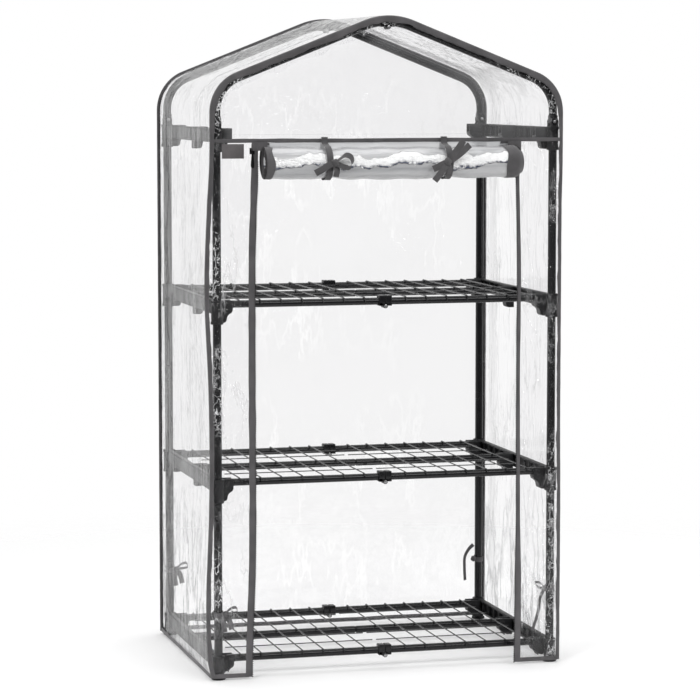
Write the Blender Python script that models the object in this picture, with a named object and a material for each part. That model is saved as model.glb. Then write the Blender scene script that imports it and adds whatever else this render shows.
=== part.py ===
"""Mini pop up greenhouse: a folding tube frame with three hinged wire shelves and a clear fitted cover.

Metres, +Z up, the door at the front faces -Y. The object stands on Z = 0 with its box centred on X = Y = 0.
"""

import math

import bmesh
import bpy
from mathutils import Vector

# Driving dimensions
LEG_SPACING_X = 0.660
LEG_SPACING_Y = 0.454
SHELF_Z = {"bottom": 0.036, "middle": 0.372, "top": 0.709}
EAVE_Z = 1.030
LEG_RADIUS = 0.008
TUBE_WALL = 0.001
RAIL_RADIUS = 0.007
WIRE = 0.0026
LONG_WIRE = 0.0020
LONG_WIRE_INNER_X = 0.004
LONG_WIRE_OUTER_X = 0.297
WELD_DEPTH = 0.0012
WIRE_PITCH = 0.0407
WIRES_PER_HALF = 7
ROOF_SLOPE = math.radians(21.5)
SHOULDER_RADIUS = 0.067
SHOULDER_Z = 1.070
APEX_RADIUS = 0.120
FILM = 0.001

# Meshes that touch keep this gap, and a cutter runs this far past what it cuts.
GAP = 0.0003
CUT_PAST = 0.02

# The cover stands this far out from the leg axes, so that it clears the leg sleeves.
COVER_INSIDE = 0.0139
COVER_OUTSIDE = COVER_INSIDE + FILM
ROOF_INSIDE = 0.0095
TAPE = 0.001
HEM_Z = 0.005
HEM_HEIGHT = 0.013
HEM_THICKNESS = 0.0008
SEAM_Z = 1.015
SEAM_HEIGHT = 0.011
GABLE_LOW_Z = SEAM_Z - SEAM_HEIGHT / 2 + 0.002
STRIP_HIGH_Z = GABLE_LOW_Z - 0.0005
STRIP_INNER_X = 0.272
TAPE_WIDTH = 0.012
BINDING_WIDTH = 0.018

# The door is rolled up under the seam, in front of the legs.
ROLL_RADIUS = 0.034
ROLL_Z = 0.9735
ROLL_AHEAD = 0.030
ROLL_LEFT_X = -0.257
ROLL_RIGHT_X = 0.258
TIE_WIDTH = 0.014
TIE_THICKNESS = 0.0012
TIE_X = {"left": -0.118, "right": 0.106}

# Zip sliders, under the seam, and the blank label beside the left binding
SLIDER_Z = SEAM_Z - 0.020
SLIDER_WIDTH = 0.008
SLIDER_HEIGHT = 0.014
SLIDER_THICKNESS = 0.003
PULL_WIDTH = 0.0056
PULL_TOP = 0.002
PULL_LENGTH = 0.032
PULL_BACK = 0.0026
PULL_FRONT = 0.0042
LABEL_WIDTH = 0.042
LABEL_HEIGHT = 0.027
LABEL_INSET = 0.004

LEG_X = LEG_SPACING_X / 2
FRONT_REACH = ROLL_AHEAD + ROLL_RADIUS + GAP + TIE_THICKNESS
LEG_FRONT_Y = (FRONT_REACH - LEG_SPACING_Y - COVER_OUTSIDE - TAPE - GAP) / 2
LEG_BACK_Y = LEG_FRONT_Y + LEG_SPACING_Y
LEG_Y = {"front": LEG_FRONT_Y, "back": LEG_BACK_Y}
SIDE = {"left": -1, "right": 1}

# Moulded side beams
BEAM_THICKNESS = 0.010
BEAM_ABOVE_RAIL = 0.008
BEAM_BELOW_RAIL = 0.018
SLEEVE_RADIUS = 0.012
SLEEVE_BORE = LEG_RADIUS + 0.0004
SLEEVE_ABOVE_RAIL = 0.009
SLEEVE_BELOW_RAIL = 0.036
FORK_BELOW_RAIL = 0.034
FORK_WIDTH = 0.024
FORK_SLOT = 0.0152
FORK_REACH = 0.008
FORK_ROOT = 0.001
SLOT_WALL = 0.0005
SLOT_FLOOR = 0.0006
LEG_BELOW_SLEEVE_TOP = 0.0005

# Clevises on the eave beams. Their slots are wider than the tube, so that the arch can swing outwards.
CLEVIS_CHEEK = 0.0032
CLEVIS_SLOT = 0.0170
PIVOT_Z = EAVE_Z + 0.018
TUBE_ABOVE_PIVOT = 0.006
LUG_ABOVE_PIVOT = 0.012
SIDE_FILM_BELOW_PIVOT = 0.002
ROOF_FILM_ABOVE_PIVOT = 0.010

# Shelf halves
RAIL_INSET_Y = 0.018
PIVOT_INSET = 0.024
PIVOT_X = LEG_X - PIVOT_INSET
RAIL_Y = {
    "front": LEG_FRONT_Y + RAIL_INSET_Y,
    "middle": (LEG_FRONT_Y + LEG_BACK_Y) / 2,
    "back": LEG_BACK_Y - RAIL_INSET_Y,
}
LUG_RADIUS = 0.0072
LUG_WIDTH = 0.014
TRUNNION_RADIUS = 0.003
TRUNNION_REACH = 0.0035
RAIL_SHORT_OF_PIVOT = 0.002
MIDDLE_RAIL_END = 0.002

# Centre hinges, on the shelves and at the apex
BLOCK_LENGTH = 0.0125
BLOCK_WIDTH = 0.020
BLOCK_TO_CENTRE = 0.0002
TUBE_INTO_BLOCK = 0.003
KNUCKLE_RADIUS = 0.0045
KNUCKLE_CLEAR = 0.0050
PIN_RADIUS = 0.002
PIN_BORE = 0.0024
PIN_FIT = 0.0002
PIN_PROUD = 0.0008
PIN_BELOW_TUBE = 0.002
SHELF_BLOCK_ABOVE = 0.0045
APEX_BLOCK_ABOVE = 0.0008

# How finely round shapes are cut
ROUND_SIDES = 12
SMALL_SIDES = 8
LUG_SIDES = 10
PEG_SIDES = 6
FOOT_SIDES = 16
ROLL_SIDES = 20
SHOULDER_STEPS = 6
APEX_STEPS = 4
SHARP_ANGLE = math.radians(35)

# From the middle of a faceted tube or peg hole to its flats and corners. A peg turns freely in its hole.
LEG_FLAT = LEG_RADIUS * math.cos(math.pi / ROUND_SIDES)
PEG_HOLE = (TRUNNION_RADIUS + GAP) / math.cos(math.pi / PEG_SIDES)

FOOT_RADIUS = 0.0138
FOOT_HEIGHT = 0.0115
FOOT_FLOOR = 0.003


def clear_scene():
    for obj in list(bpy.data.objects):
        bpy.data.objects.remove(obj, do_unlink=True)


def material(name, colour, roughness, metallic=0.0, alpha=1.0):
    made = bpy.data.materials.new(name)
    made.use_nodes = True
    made.diffuse_color = (*colour, alpha)
    shader = made.node_tree.nodes["Principled BSDF"]
    shader.inputs["Base Color"].default_value = (*colour, 1.0)
    shader.inputs["Roughness"].default_value = roughness
    shader.inputs["Metallic"].default_value = metallic
    shader.inputs["Alpha"].default_value = alpha
    return made


# Solids: each function below returns a bmesh of one closed shape.


def prism(outline, axis, low, high):
    """A flat outline pushed from low to high along X, Y or Z. Its points are the other two coordinates."""
    bm = bmesh.new()
    place = {
        "X": lambda a, b, c: (c, a, b),
        "Y": lambda a, b, c: (a, c, b),
        "Z": lambda a, b, c: (a, b, c),
    }[axis]
    ends = []
    for level in (low, high):
        ends.append([bm.verts.new(place(a, b, level)) for a, b in outline])
    bm.faces.new(ends[0])
    bm.faces.new(reversed(ends[1]))
    count = len(outline)
    for i in range(count):
        j = (i + 1) % count
        bm.faces.new((ends[0][i], ends[0][j], ends[1][j], ends[1][i]))
    bmesh.ops.recalc_face_normals(bm, faces=bm.faces)
    return bm


def box(low, high):
    outline = [(low[0], low[1]), (high[0], low[1]), (high[0], high[1]), (low[0], high[1])]
    return prism(outline, "Z", low[2], high[2])


def circle(centre, radius, sides):
    step = 2 * math.pi / sides
    return [
        (centre[0] + radius * math.cos(step * (i + 0.5)), centre[1] + radius * math.sin(step * (i + 0.5)))
        for i in range(sides)
    ]


def rod(axis, centre, radius, low, high, sides=ROUND_SIDES):
    return prism(circle(centre, radius, sides), axis, low, high)


def sweep(path, radius, sides=ROUND_SIDES):
    """A round tube along a path in a plane of constant Y, cut square at its ends."""
    bm = bmesh.new()
    rings = []
    across = Vector((0, 1, 0))
    for i, point in enumerate(path):
        before = path[max(i - 1, 0)]
        after = path[min(i + 1, len(path) - 1)]
        along = (after - before).normalized()
        up = along.cross(across)
        ring = []
        for a, b in circle((0, 0), radius, sides):
            ring.append(bm.verts.new(point + across * a + up * b))
        rings.append(ring)
    for first, second in zip(rings, rings[1:]):
        for i in range(sides):
            j = (i + 1) % sides
            bm.faces.new((first[i], first[j], second[j], second[i]))
    bm.faces.new(rings[0])
    bm.faces.new(reversed(rings[-1]))
    bmesh.ops.recalc_face_normals(bm, faces=bm.faces)
    return bm


def strip_outline(path, half):
    """The outline of a band of the given half width along a flat path, mitred at its corners."""
    left, right = [], []
    for i, point in enumerate(path):
        before = (point - path[i - 1]).normalized() if i else None
        after = (path[i + 1] - point).normalized() if i + 1 < len(path) else None
        first = before or after
        second = after or before
        along = (first + second).normalized()
        width = half / along.dot(second)
        normal = Vector((-along.y, along.x))
        left.append(tuple(point + normal * width))
        right.append(tuple(point - normal * width))
    return left + right[::-1]


def add_object(name, bm, finish=None):
    mesh = bpy.data.meshes.new(name)
    bm.to_mesh(mesh)
    bm.free()
    obj = bpy.data.objects.new(name, mesh)
    bpy.context.scene.collection.objects.link(obj)
    if finish:
        mesh.materials.append(finish)
    return obj


def build(name, finish, joined, cuts=()):
    """One named object: the union of the joined solids, less the cuts."""
    obj = add_object(name, joined[0], finish)
    helpers = []
    for operation, solids in (("UNION", joined[1:]), ("DIFFERENCE", cuts)):
        for solid in solids:
            helper = add_object("helper", solid)
            helper.hide_render = True
            helper.display_type = "WIRE"
            helpers.append(helper)
            modifier = obj.modifiers.new(operation.lower(), "BOOLEAN")
            modifier.operation = operation
            modifier.solver = "EXACT"
            modifier.object = helper
    if helpers:
        graph = bpy.context.evaluated_depsgraph_get()
        whole = bpy.data.meshes.new_from_object(obj.evaluated_get(graph))
        obj.modifiers.clear()
        obj.data = whole
        whole.name = name
        for helper in helpers:
            bpy.data.objects.remove(helper, do_unlink=True)
    obj.data.shade_smooth()
    obj.data.set_sharp_from_angle(angle=SHARP_ANGLE)
    return obj


def on_joint(obj, pivot):
    """Puts the object's origin on its joint's axis and leaves its shape where it is."""
    for vertex in obj.data.vertices:
        vertex.co -= Vector(pivot)
    obj.location = pivot
    return obj


# Outlines that several pieces follow


def arch_path(shoulder_offset, roof_offset, start_z, sign):
    """Points of the left or right half of the arch, from start_z up over the shoulder to the apex.

    The offsets are how far the path stands outside the tube's axis at the eaves and along the roof.
    """
    points = [(LEG_X + shoulder_offset, start_z)]
    turn = math.pi / 2 - ROOF_SLOPE
    for i in range(SHOULDER_STEPS + 1):
        part = i / SHOULDER_STEPS
        angle = turn * part
        radius = SHOULDER_RADIUS + shoulder_offset + (roof_offset - shoulder_offset) * part
        across = LEG_X - SHOULDER_RADIUS + radius * math.cos(angle)
        points.append((across, SHOULDER_Z + radius * math.sin(angle)))
    apex_centre_z = apex_axis_z() - APEX_RADIUS
    for i in range(APEX_STEPS + 1):
        angle = ROOF_SLOPE * (1 - i / APEX_STEPS)
        radius = APEX_RADIUS + roof_offset
        points.append((radius * math.sin(angle), apex_centre_z + radius * math.cos(angle)))
    return [Vector((sign * across, height)) for across, height in points]


def apex_axis_z():
    shoulder_end_x = LEG_X - SHOULDER_RADIUS * (1 - math.sin(ROOF_SLOPE))
    shoulder_end_z = SHOULDER_Z + SHOULDER_RADIUS * math.cos(ROOF_SLOPE)
    apex_start_x = APEX_RADIUS * math.sin(ROOF_SLOPE)
    slope_rise = (shoulder_end_x - apex_start_x) * math.tan(ROOF_SLOPE)
    return shoulder_end_z + slope_rise + APEX_RADIUS * (1 - math.cos(ROOF_SLOPE))


def house_outline(side_offset, roof_offset, low_z):
    """The outline of the whole end of the greenhouse, from low_z over the roof."""
    left = arch_path(side_offset, roof_offset, low_z, -1)
    right = arch_path(side_offset, roof_offset, low_z, 1)
    return [tuple(p) for p in left] + [tuple(p) for p in reversed(right[:-1])]


# Frame


def make_leg(name, x, y):
    top = EAVE_Z + SLEEVE_ABOVE_RAIL - LEG_BELOW_SLEEVE_TOP
    shape = rod("Z", (x, y), LEG_RADIUS, FOOT_FLOOR + GAP, top)
    bore = rod("Z", (x, y), LEG_RADIUS - TUBE_WALL, 0, top + CUT_PAST)
    return build(name, TUBE_BLACK, [shape], [bore])


def make_foot(name, x, y):
    shape = rod("Z", (x, y), FOOT_RADIUS, 0, FOOT_HEIGHT, FOOT_SIDES)
    socket = rod("Z", (x, y), SLEEVE_BORE, FOOT_FLOOR, FOOT_HEIGHT + CUT_PAST)
    return build(name, MOULDED, [shape], [socket])


def make_side_beam(name, sign, rail_z, is_eave):
    """A moulded beam between a front and a back leg, with a sleeve round each and three rail forks."""
    x = sign * LEG_X
    beam_low = rail_z - BEAM_BELOW_RAIL
    beam_high = rail_z + BEAM_ABOVE_RAIL
    half = BEAM_THICKNESS / 2
    joined = [box((x - half, LEG_FRONT_Y, beam_low), (x + half, LEG_BACK_Y, beam_high))]
    cuts = []
    # The bottom beam's sleeves and forks stop above the feet.
    lowest = FOOT_HEIGHT + GAP
    sleeve_low = max(rail_z - SLEEVE_BELOW_RAIL, lowest)
    fork_low = max(rail_z - FORK_BELOW_RAIL, lowest)
    sleeve_high = rail_z + SLEEVE_ABOVE_RAIL
    for y in LEG_Y.values():
        joined.append(rod("Z", (x, y), SLEEVE_RADIUS, sleeve_low, sleeve_high))
        cuts.append(rod("Z", (x, y), SLEEVE_BORE, sleeve_low - CUT_PAST, sleeve_high + CUT_PAST))
    inner = sign * (PIVOT_X - FORK_REACH)
    outer = x - sign * (half - FORK_ROOT)
    slot_wall = x - sign * (half + SLOT_WALL)
    slot_mouth = inner - sign * CUT_PAST
    slot_floor = rail_z - LUG_RADIUS - SLOT_FLOOR
    for y in RAIL_Y.values():
        low = (min(inner, outer), y - FORK_WIDTH / 2, fork_low)
        high = (max(inner, outer), y + FORK_WIDTH / 2, beam_high)
        joined.append(box(low, high))
        slot_low = (min(slot_mouth, slot_wall), y - FORK_SLOT / 2, slot_floor)
        slot_high = (max(slot_mouth, slot_wall), y + FORK_SLOT / 2, beam_high + CUT_PAST)
        cuts.append(box(slot_low, slot_high))
        if not is_eave:
            reach = FORK_SLOT / 2 + TRUNNION_REACH + GAP
            hole = circle((sign * PIVOT_X, rail_z), PEG_HOLE, PEG_SIDES)
            cuts.append(prism(hole, "Y", y - reach, y + reach))
    if is_eave:
        for y in LEG_Y.values():
            for outward in (-1, 1):
                joined += clevis_cheek(x, y, outward)
            hole = circle((x, PIVOT_Z), PIN_RADIUS + PIN_FIT, SMALL_SIDES)
            cuts.append(prism(hole, "Y", y - CUT_PAST, y + CUT_PAST))
    return build(name, MOULDED, joined, cuts)


def clevis_cheek(x, y, outward):
    """One cheek of an eave clevis: a round plate at the pivot on a foot as wide as the plate's flats."""
    near = y + outward * CLEVIS_SLOT / 2
    low_y, high_y = sorted((near, near + outward * CLEVIS_CHEEK))
    plate = prism(circle((x, PIVOT_Z), LEG_RADIUS, ROUND_SIDES), "Y", low_y, high_y)
    foot = box((x - LEG_FLAT, low_y, EAVE_Z), (x + LEG_FLAT, high_y, PIVOT_Z))
    return [plate, foot]


def hinge_block(sign, y, tube_z, tube_radius, above_tube, knuckle_y, clear_y):
    """The block on a tube's centre end: its solids, and the cuts for the pin and the other knuckle."""
    pin_z = tube_z - tube_radius - PIN_BELOW_TUBE
    near = sign * BLOCK_TO_CENTRE
    far = sign * BLOCK_LENGTH
    low = (min(near, far), y - BLOCK_WIDTH / 2, pin_z + GAP)
    high = (max(near, far), y + BLOCK_WIDTH / 2, tube_z + tube_radius + above_tube)
    joined = [box(low, high), rod("Y", (0, pin_z), KNUCKLE_RADIUS, *knuckle_y)]
    cuts = []
    if clear_y:
        cuts.append(rod("Y", (0, pin_z), KNUCKLE_CLEAR, *clear_y))
    cuts.append(rod("Y", (0, pin_z), PIN_BORE, y - BLOCK_WIDTH, y + BLOCK_WIDTH, SMALL_SIDES))
    return joined, cuts


def make_shelf_half(name, sign, rail_z):
    """Half a shelf: three rails on trunnions at the side, hinge blocks at the centre, welded wires on top."""
    joined = []
    cuts = []
    rail_side = sign * (PIVOT_X - RAIL_SHORT_OF_PIVOT)
    rail_centre = sign * (BLOCK_LENGTH - TUBE_INTO_BLOCK)
    for place, y in RAIL_Y.items():
        end = rail_centre if place != "middle" else sign * MIDDLE_RAIL_END
        low, high = sorted((rail_side, end))
        joined.append(rod("X", (y, rail_z), RAIL_RADIUS, low, high))
        lug = circle((sign * PIVOT_X, rail_z), LUG_RADIUS, LUG_SIDES)
        joined.append(prism(lug, "Y", y - LUG_WIDTH / 2, y + LUG_WIDTH / 2))
        pegs = circle((sign * PIVOT_X, rail_z), TRUNNION_RADIUS, PEG_SIDES)
        reach = FORK_SLOT / 2 + TRUNNION_REACH
        joined.append(prism(pegs, "Y", y - reach, y + reach))
        if place == "middle":
            continue
        # The left half's knuckle is at the front of the block, and the right half's behind it.
        own = sorted((y + sign * GAP / 2, y + sign * BLOCK_WIDTH / 2))
        clear = sorted((y - sign * GAP / 2, y - sign * (BLOCK_WIDTH / 2 + CUT_PAST)))
        solids, holes = hinge_block(sign, y, rail_z, RAIL_RADIUS, SHELF_BLOCK_ABOVE, own, clear)
        joined += solids
        cuts += holes
    top = rail_z + RAIL_RADIUS + WIRE / 2 + GAP
    cross_wire = cross_wire_outline(rail_z, top)
    for k in range(1, WIRES_PER_HALF + 1):
        x = sign * WIRE_PITCH * k
        joined.append(prism(cross_wire, "X", x - WIRE / 2, x + WIRE / 2))
    # The first and the last cross wire are welded to the rails.
    for k in (1, WIRES_PER_HALF):
        for y in RAIL_Y.values():
            joined.append(weld(sign * WIRE_PITCH * k, y, top))
    low_x, high_x = sorted((sign * LONG_WIRE_OUTER_X, sign * LONG_WIRE_INNER_X))
    half = LONG_WIRE / 2
    for first, second in (("front", "middle"), ("middle", "back")):
        for part in (1 / 3, 2 / 3):
            y = RAIL_Y[first] + (RAIL_Y[second] - RAIL_Y[first]) * part
            joined.append(box((low_x, y - half, top - half), (high_x, y + half, top + half)))
    obj = build(name, TUBE_BLACK, joined, cuts)
    at_side = (sign * PIVOT_X, 0, rail_z)
    at_centre = (0, 0, rail_z - RAIL_RADIUS - PIN_BELOW_TUBE)
    return on_joint(obj, at_side if sign < 0 else at_centre)


def weld(x, y, wire_z):
    half = WIRE / 2 - GAP
    return box((x - half, y - half, wire_z - WIRE / 2 - WELD_DEPTH), (x + half, y + half, wire_z))


def cross_wire_outline(rail_z, top):
    """A wire across the rails, bent down in front of the front rail and behind the back rail."""
    over = RAIL_RADIUS + WIRE / 2 + GAP
    front = RAIL_Y["front"] - over
    back = RAIL_Y["back"] + over
    path = [(front, rail_z), (front, top), (back, top), (back, rail_z)]
    return strip_outline([Vector(p) for p in path], WIRE / 2)


def make_shelf_pin(name, y, rail_z):
    pin_z = rail_z - RAIL_RADIUS - PIN_BELOW_TUBE
    reach = BLOCK_WIDTH / 2 + PIN_PROUD
    obj = build(name, PIN_STEEL, [rod("Y", (0, pin_z), PIN_RADIUS, y - reach, y + reach, SMALL_SIDES)])
    return on_joint(obj, (0, y, pin_z))


def make_arch_half(name, sign, y):
    """Half an arch: a lug in the eave clevis, the bent tube, and a hinge block at the apex."""
    apex_z = apex_axis_z()
    flat = arch_path(0, 0, PIVOT_Z + TUBE_ABOVE_PIVOT, sign)[:-1]
    end_x = BLOCK_LENGTH - TUBE_INTO_BLOCK
    end_drop = APEX_RADIUS - math.sqrt(APEX_RADIUS**2 - end_x**2)
    end = Vector((sign * end_x, apex_z - end_drop))
    path = [Vector((p.x, y, p.y)) for p in flat + [end]]
    lug_half = CLEVIS_SLOT / 2 - GAP
    x = sign * LEG_X
    lug = circle((x, PIVOT_Z), LEG_RADIUS, ROUND_SIDES)
    neck_low = (x - LEG_FLAT, y - lug_half, PIVOT_Z)
    neck_high = (x + LEG_FLAT, y + lug_half, PIVOT_Z + LUG_ABOVE_PIVOT)
    joined = [
        sweep(path, LEG_RADIUS),
        prism(lug, "Y", y - lug_half, y + lug_half),
        box(neck_low, neck_high),
    ]
    cuts = [rod("Y", (x, PIVOT_Z), PIN_BORE, y - CUT_PAST, y + CUT_PAST, SMALL_SIDES)]
    pin_z = apex_z - LEG_RADIUS - PIN_BELOW_TUBE
    whole = (y - BLOCK_WIDTH / 2, y + BLOCK_WIDTH / 2)
    solids, holes = hinge_block(sign, y, apex_z, LEG_RADIUS, APEX_BLOCK_ABOVE, whole, None)
    if sign > 0:
        # The right block only sits over the left knuckle, so that the halves can part while they fold.
        solids = solids[:1]
        holes = [rod("Y", (0, pin_z), KNUCKLE_CLEAR, y - CUT_PAST, y + CUT_PAST)]
    obj = build(name, TUBE_BLACK, joined + solids, cuts + holes)
    return on_joint(obj, (x, y, PIVOT_Z))


def make_eave_pin(name, sign, y):
    reach = CLEVIS_SLOT / 2 + CLEVIS_CHEEK + PIN_PROUD
    shape = rod("Y", (sign * LEG_X, PIVOT_Z), PIN_RADIUS, y - reach, y + reach, SMALL_SIDES)
    return build(name, PIN_STEEL, [shape])


def make_apex_pin(name, y):
    pin_z = apex_axis_z() - LEG_RADIUS - PIN_BELOW_TUBE
    reach = BLOCK_WIDTH / 2 + PIN_PROUD
    return build(name, PIN_STEEL, [rod("Y", (0, pin_z), PIN_RADIUS, y - reach, y + reach, SMALL_SIDES)])


# Cover


def make_cover_side(name, sign):
    """A side wall of clear film, with its hem folded thick along the bottom."""
    inside = sign * (LEG_X + COVER_INSIDE)
    outside = sign * (LEG_X + COVER_OUTSIDE)
    hem = sign * (LEG_X + COVER_OUTSIDE + HEM_THICKNESS)
    top = PIVOT_Z - SIDE_FILM_BELOW_PIVOT
    outline = [
        (inside, HEM_Z),
        (inside, top),
        (outside, top),
        (outside, HEM_Z + HEM_HEIGHT),
        (hem, HEM_Z + HEM_HEIGHT),
        (hem, HEM_Z),
    ]
    edge = COVER_INSIDE - GAP
    return build(name, CLEAR_FILM, [prism(outline, "Y", LEG_FRONT_Y - edge, LEG_BACK_Y + edge)])


def make_cover_roof(name, sign):
    """Half the roof, from the eaves over the shoulder to the ridge."""
    start = PIVOT_Z + ROOF_FILM_ABOVE_PIVOT
    outer = arch_path(COVER_OUTSIDE, ROOF_INSIDE + FILM, start, sign)
    inner = arch_path(COVER_INSIDE, ROOF_INSIDE, start, sign)
    ridge = sign * GAP
    outer[-1].x = ridge
    inner[-1].x = ridge
    outline = [tuple(p) for p in outer] + [tuple(p) for p in reversed(inner)]
    edge = COVER_INSIDE - GAP
    obj = build(name, CLEAR_FILM, [prism(outline, "Y", LEG_FRONT_Y - edge, LEG_BACK_Y + edge)])
    return on_joint(obj, (sign * LEG_X, 0, PIVOT_Z))


def make_cover_back():
    outline = house_outline(COVER_OUTSIDE, ROOF_INSIDE + FILM, HEM_Z)
    low = LEG_BACK_Y + COVER_INSIDE
    return build("cover_back", CLEAR_FILM, [prism(outline, "Y", low, low + FILM)])


def make_cover_front_gable():
    outline = house_outline(COVER_OUTSIDE, ROOF_INSIDE + FILM, GABLE_LOW_Z)
    high = LEG_FRONT_Y - COVER_INSIDE
    return build("cover_front_gable", CLEAR_FILM, [prism(outline, "Y", high - FILM, high)])


def make_cover_strip(name, sign):
    """The narrow front wall between a leg and the door."""
    low, high = sorted((sign * (LEG_X + COVER_OUTSIDE), sign * STRIP_INNER_X))
    front = LEG_FRONT_Y - COVER_OUTSIDE
    return build(name, CLEAR_FILM, [box((low, front, HEM_Z), (high, front + FILM, STRIP_HIGH_Z))])


def make_binding(name, face_y, back_y, low_z):
    """The fabric edge that runs up one leg, over the roof and down the other leg."""
    outer = house_outline(COVER_OUTSIDE, ROOF_INSIDE + FILM, low_z)
    inner = house_outline(COVER_OUTSIDE - BINDING_WIDTH, ROOF_INSIDE + FILM - BINDING_WIDTH, low_z)
    low, high = sorted((face_y, back_y))
    outline = outer + inner[::-1]
    return build(name, FABRIC, [prism(outline, "Y", low, high)])


def make_seam_tape():
    reach = LEG_X + COVER_OUTSIDE - BINDING_WIDTH - GAP
    front = LEG_FRONT_Y - COVER_OUTSIDE - GAP - TAPE
    low = (-reach, front, SEAM_Z - SEAM_HEIGHT / 2)
    high = (reach, front + TAPE, SEAM_Z + SEAM_HEIGHT / 2)
    return build("seam_tape", FABRIC, [box(low, high)])


def make_zip_tape(name, sign):
    inner = STRIP_INNER_X - GAP
    low, high = sorted((sign * inner, sign * (inner - TAPE_WIDTH)))
    front = LEG_FRONT_Y - COVER_OUTSIDE
    top = SEAM_Z - SEAM_HEIGHT / 2 - GAP
    return build(name, FABRIC, [box((low, front, HEM_Z), (high, front + FILM, top))])


def make_zip_slider(name, sign):
    """A zip slider with its pull, on the tape, just under the seam."""
    x = sign * (STRIP_INNER_X - GAP - TAPE_WIDTH / 2)
    front = LEG_FRONT_Y - COVER_OUTSIDE - GAP
    half = SLIDER_WIDTH / 2
    low = SLIDER_Z - SLIDER_HEIGHT / 2
    body = box((x - half, front - SLIDER_THICKNESS, low), (x + half, front, low + SLIDER_HEIGHT))
    half = PULL_WIDTH / 2
    top = SLIDER_Z + PULL_TOP
    pull = box((x - half, front - PULL_FRONT, top - PULL_LENGTH), (x + half, front - PULL_BACK, top))
    return on_joint(build(name, PIN_STEEL, [body, pull]), (x, front, SLIDER_Z))


def make_door_roll():
    y = LEG_FRONT_Y - ROLL_AHEAD
    roll = rod("X", (y, ROLL_Z), ROLL_RADIUS, ROLL_LEFT_X, ROLL_RIGHT_X, ROLL_SIDES)
    return build("door_roll", CLEAR_FILM, [roll])


def make_door_tie(name, x):
    """A ribbon that goes round the rolled door."""
    y = LEG_FRONT_Y - ROLL_AHEAD
    low = x - TIE_WIDTH / 2
    high = x + TIE_WIDTH / 2
    bore = ROLL_RADIUS + GAP
    outside = rod("X", (y, ROLL_Z), bore + TIE_THICKNESS, low, high, ROLL_SIDES)
    inside = rod("X", (y, ROLL_Z), bore, low - CUT_PAST, high + CUT_PAST, ROLL_SIDES)
    return build(name, FABRIC, [outside], [inside])


def make_label():
    """A blank woven label on the left strip, under the seam."""
    front = LEG_FRONT_Y - COVER_OUTSIDE - GAP
    left = -LEG_X - COVER_OUTSIDE + BINDING_WIDTH + LABEL_INSET
    top = SEAM_Z - SEAM_HEIGHT / 2 - GAP
    low = (left, front - TAPE, top - LABEL_HEIGHT)
    return build("cover_label", FABRIC, [box(low, (left + LABEL_WIDTH, front, top))])


clear_scene()
TUBE_BLACK = material("tube_black", (0.012, 0.012, 0.013), 0.28)
MOULDED = material("moulded_black", (0.018, 0.018, 0.019), 0.5)
PIN_STEEL = material("pin_steel", (0.30, 0.30, 0.31), 0.35, metallic=1.0)
CLEAR_FILM = material("clear_film", (0.90, 0.93, 0.94), 0.08, alpha=0.25)
FABRIC = material("grey_fabric", (0.095, 0.09, 0.095), 0.85)

for side, sign in SIDE.items():
    for end, y in LEG_Y.items():
        make_leg(f"leg_{end}_{side}", sign * LEG_X, y)
        make_foot(f"foot_{end}_{side}", sign * LEG_X, y)
        make_arch_half(f"arch_{end}_{side}", sign, y)
        make_eave_pin(f"eave_pin_{end}_{side}", sign, y)
    for level, rail_z in SHELF_Z.items():
        make_side_beam(f"side_beam_{level}_{side}", sign, rail_z, False)
        make_shelf_half(f"shelf_{level}_{side}", sign, rail_z)
    make_side_beam(f"side_beam_eave_{side}", sign, EAVE_Z, True)
    make_cover_side(f"cover_side_{side}", sign)
    make_cover_roof(f"cover_roof_{side}", sign)
    make_cover_strip(f"cover_strip_{side}", sign)
    make_zip_tape(f"zip_tape_{side}", sign)
    make_zip_slider(f"zip_slider_{side}", sign)
    make_door_tie(f"door_tie_{side}", TIE_X[side])

for end, y in LEG_Y.items():
    make_apex_pin(f"apex_pin_{end}", y)
    for level, rail_z in SHELF_Z.items():
        make_shelf_pin(f"shelf_pin_{level}_{end}", RAIL_Y[end], rail_z)

make_cover_back()
make_cover_front_gable()
front_face = LEG_FRONT_Y - COVER_OUTSIDE - GAP
back_face = LEG_BACK_Y + COVER_OUTSIDE + GAP
make_binding("binding_front", front_face - TAPE, front_face, HEM_Z)
make_binding("binding_back", back_face, back_face + TAPE, HEM_Z)
make_seam_tape()
make_door_roll()
make_label()
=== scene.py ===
"""The finished look of the mini pop up greenhouse: gloss black tubes, moulded beams, wire shelves and a
creased clear cover with dark fabric edges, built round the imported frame.

Metres, +Z up, the door at the front faces -Y.
"""

import math

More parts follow.
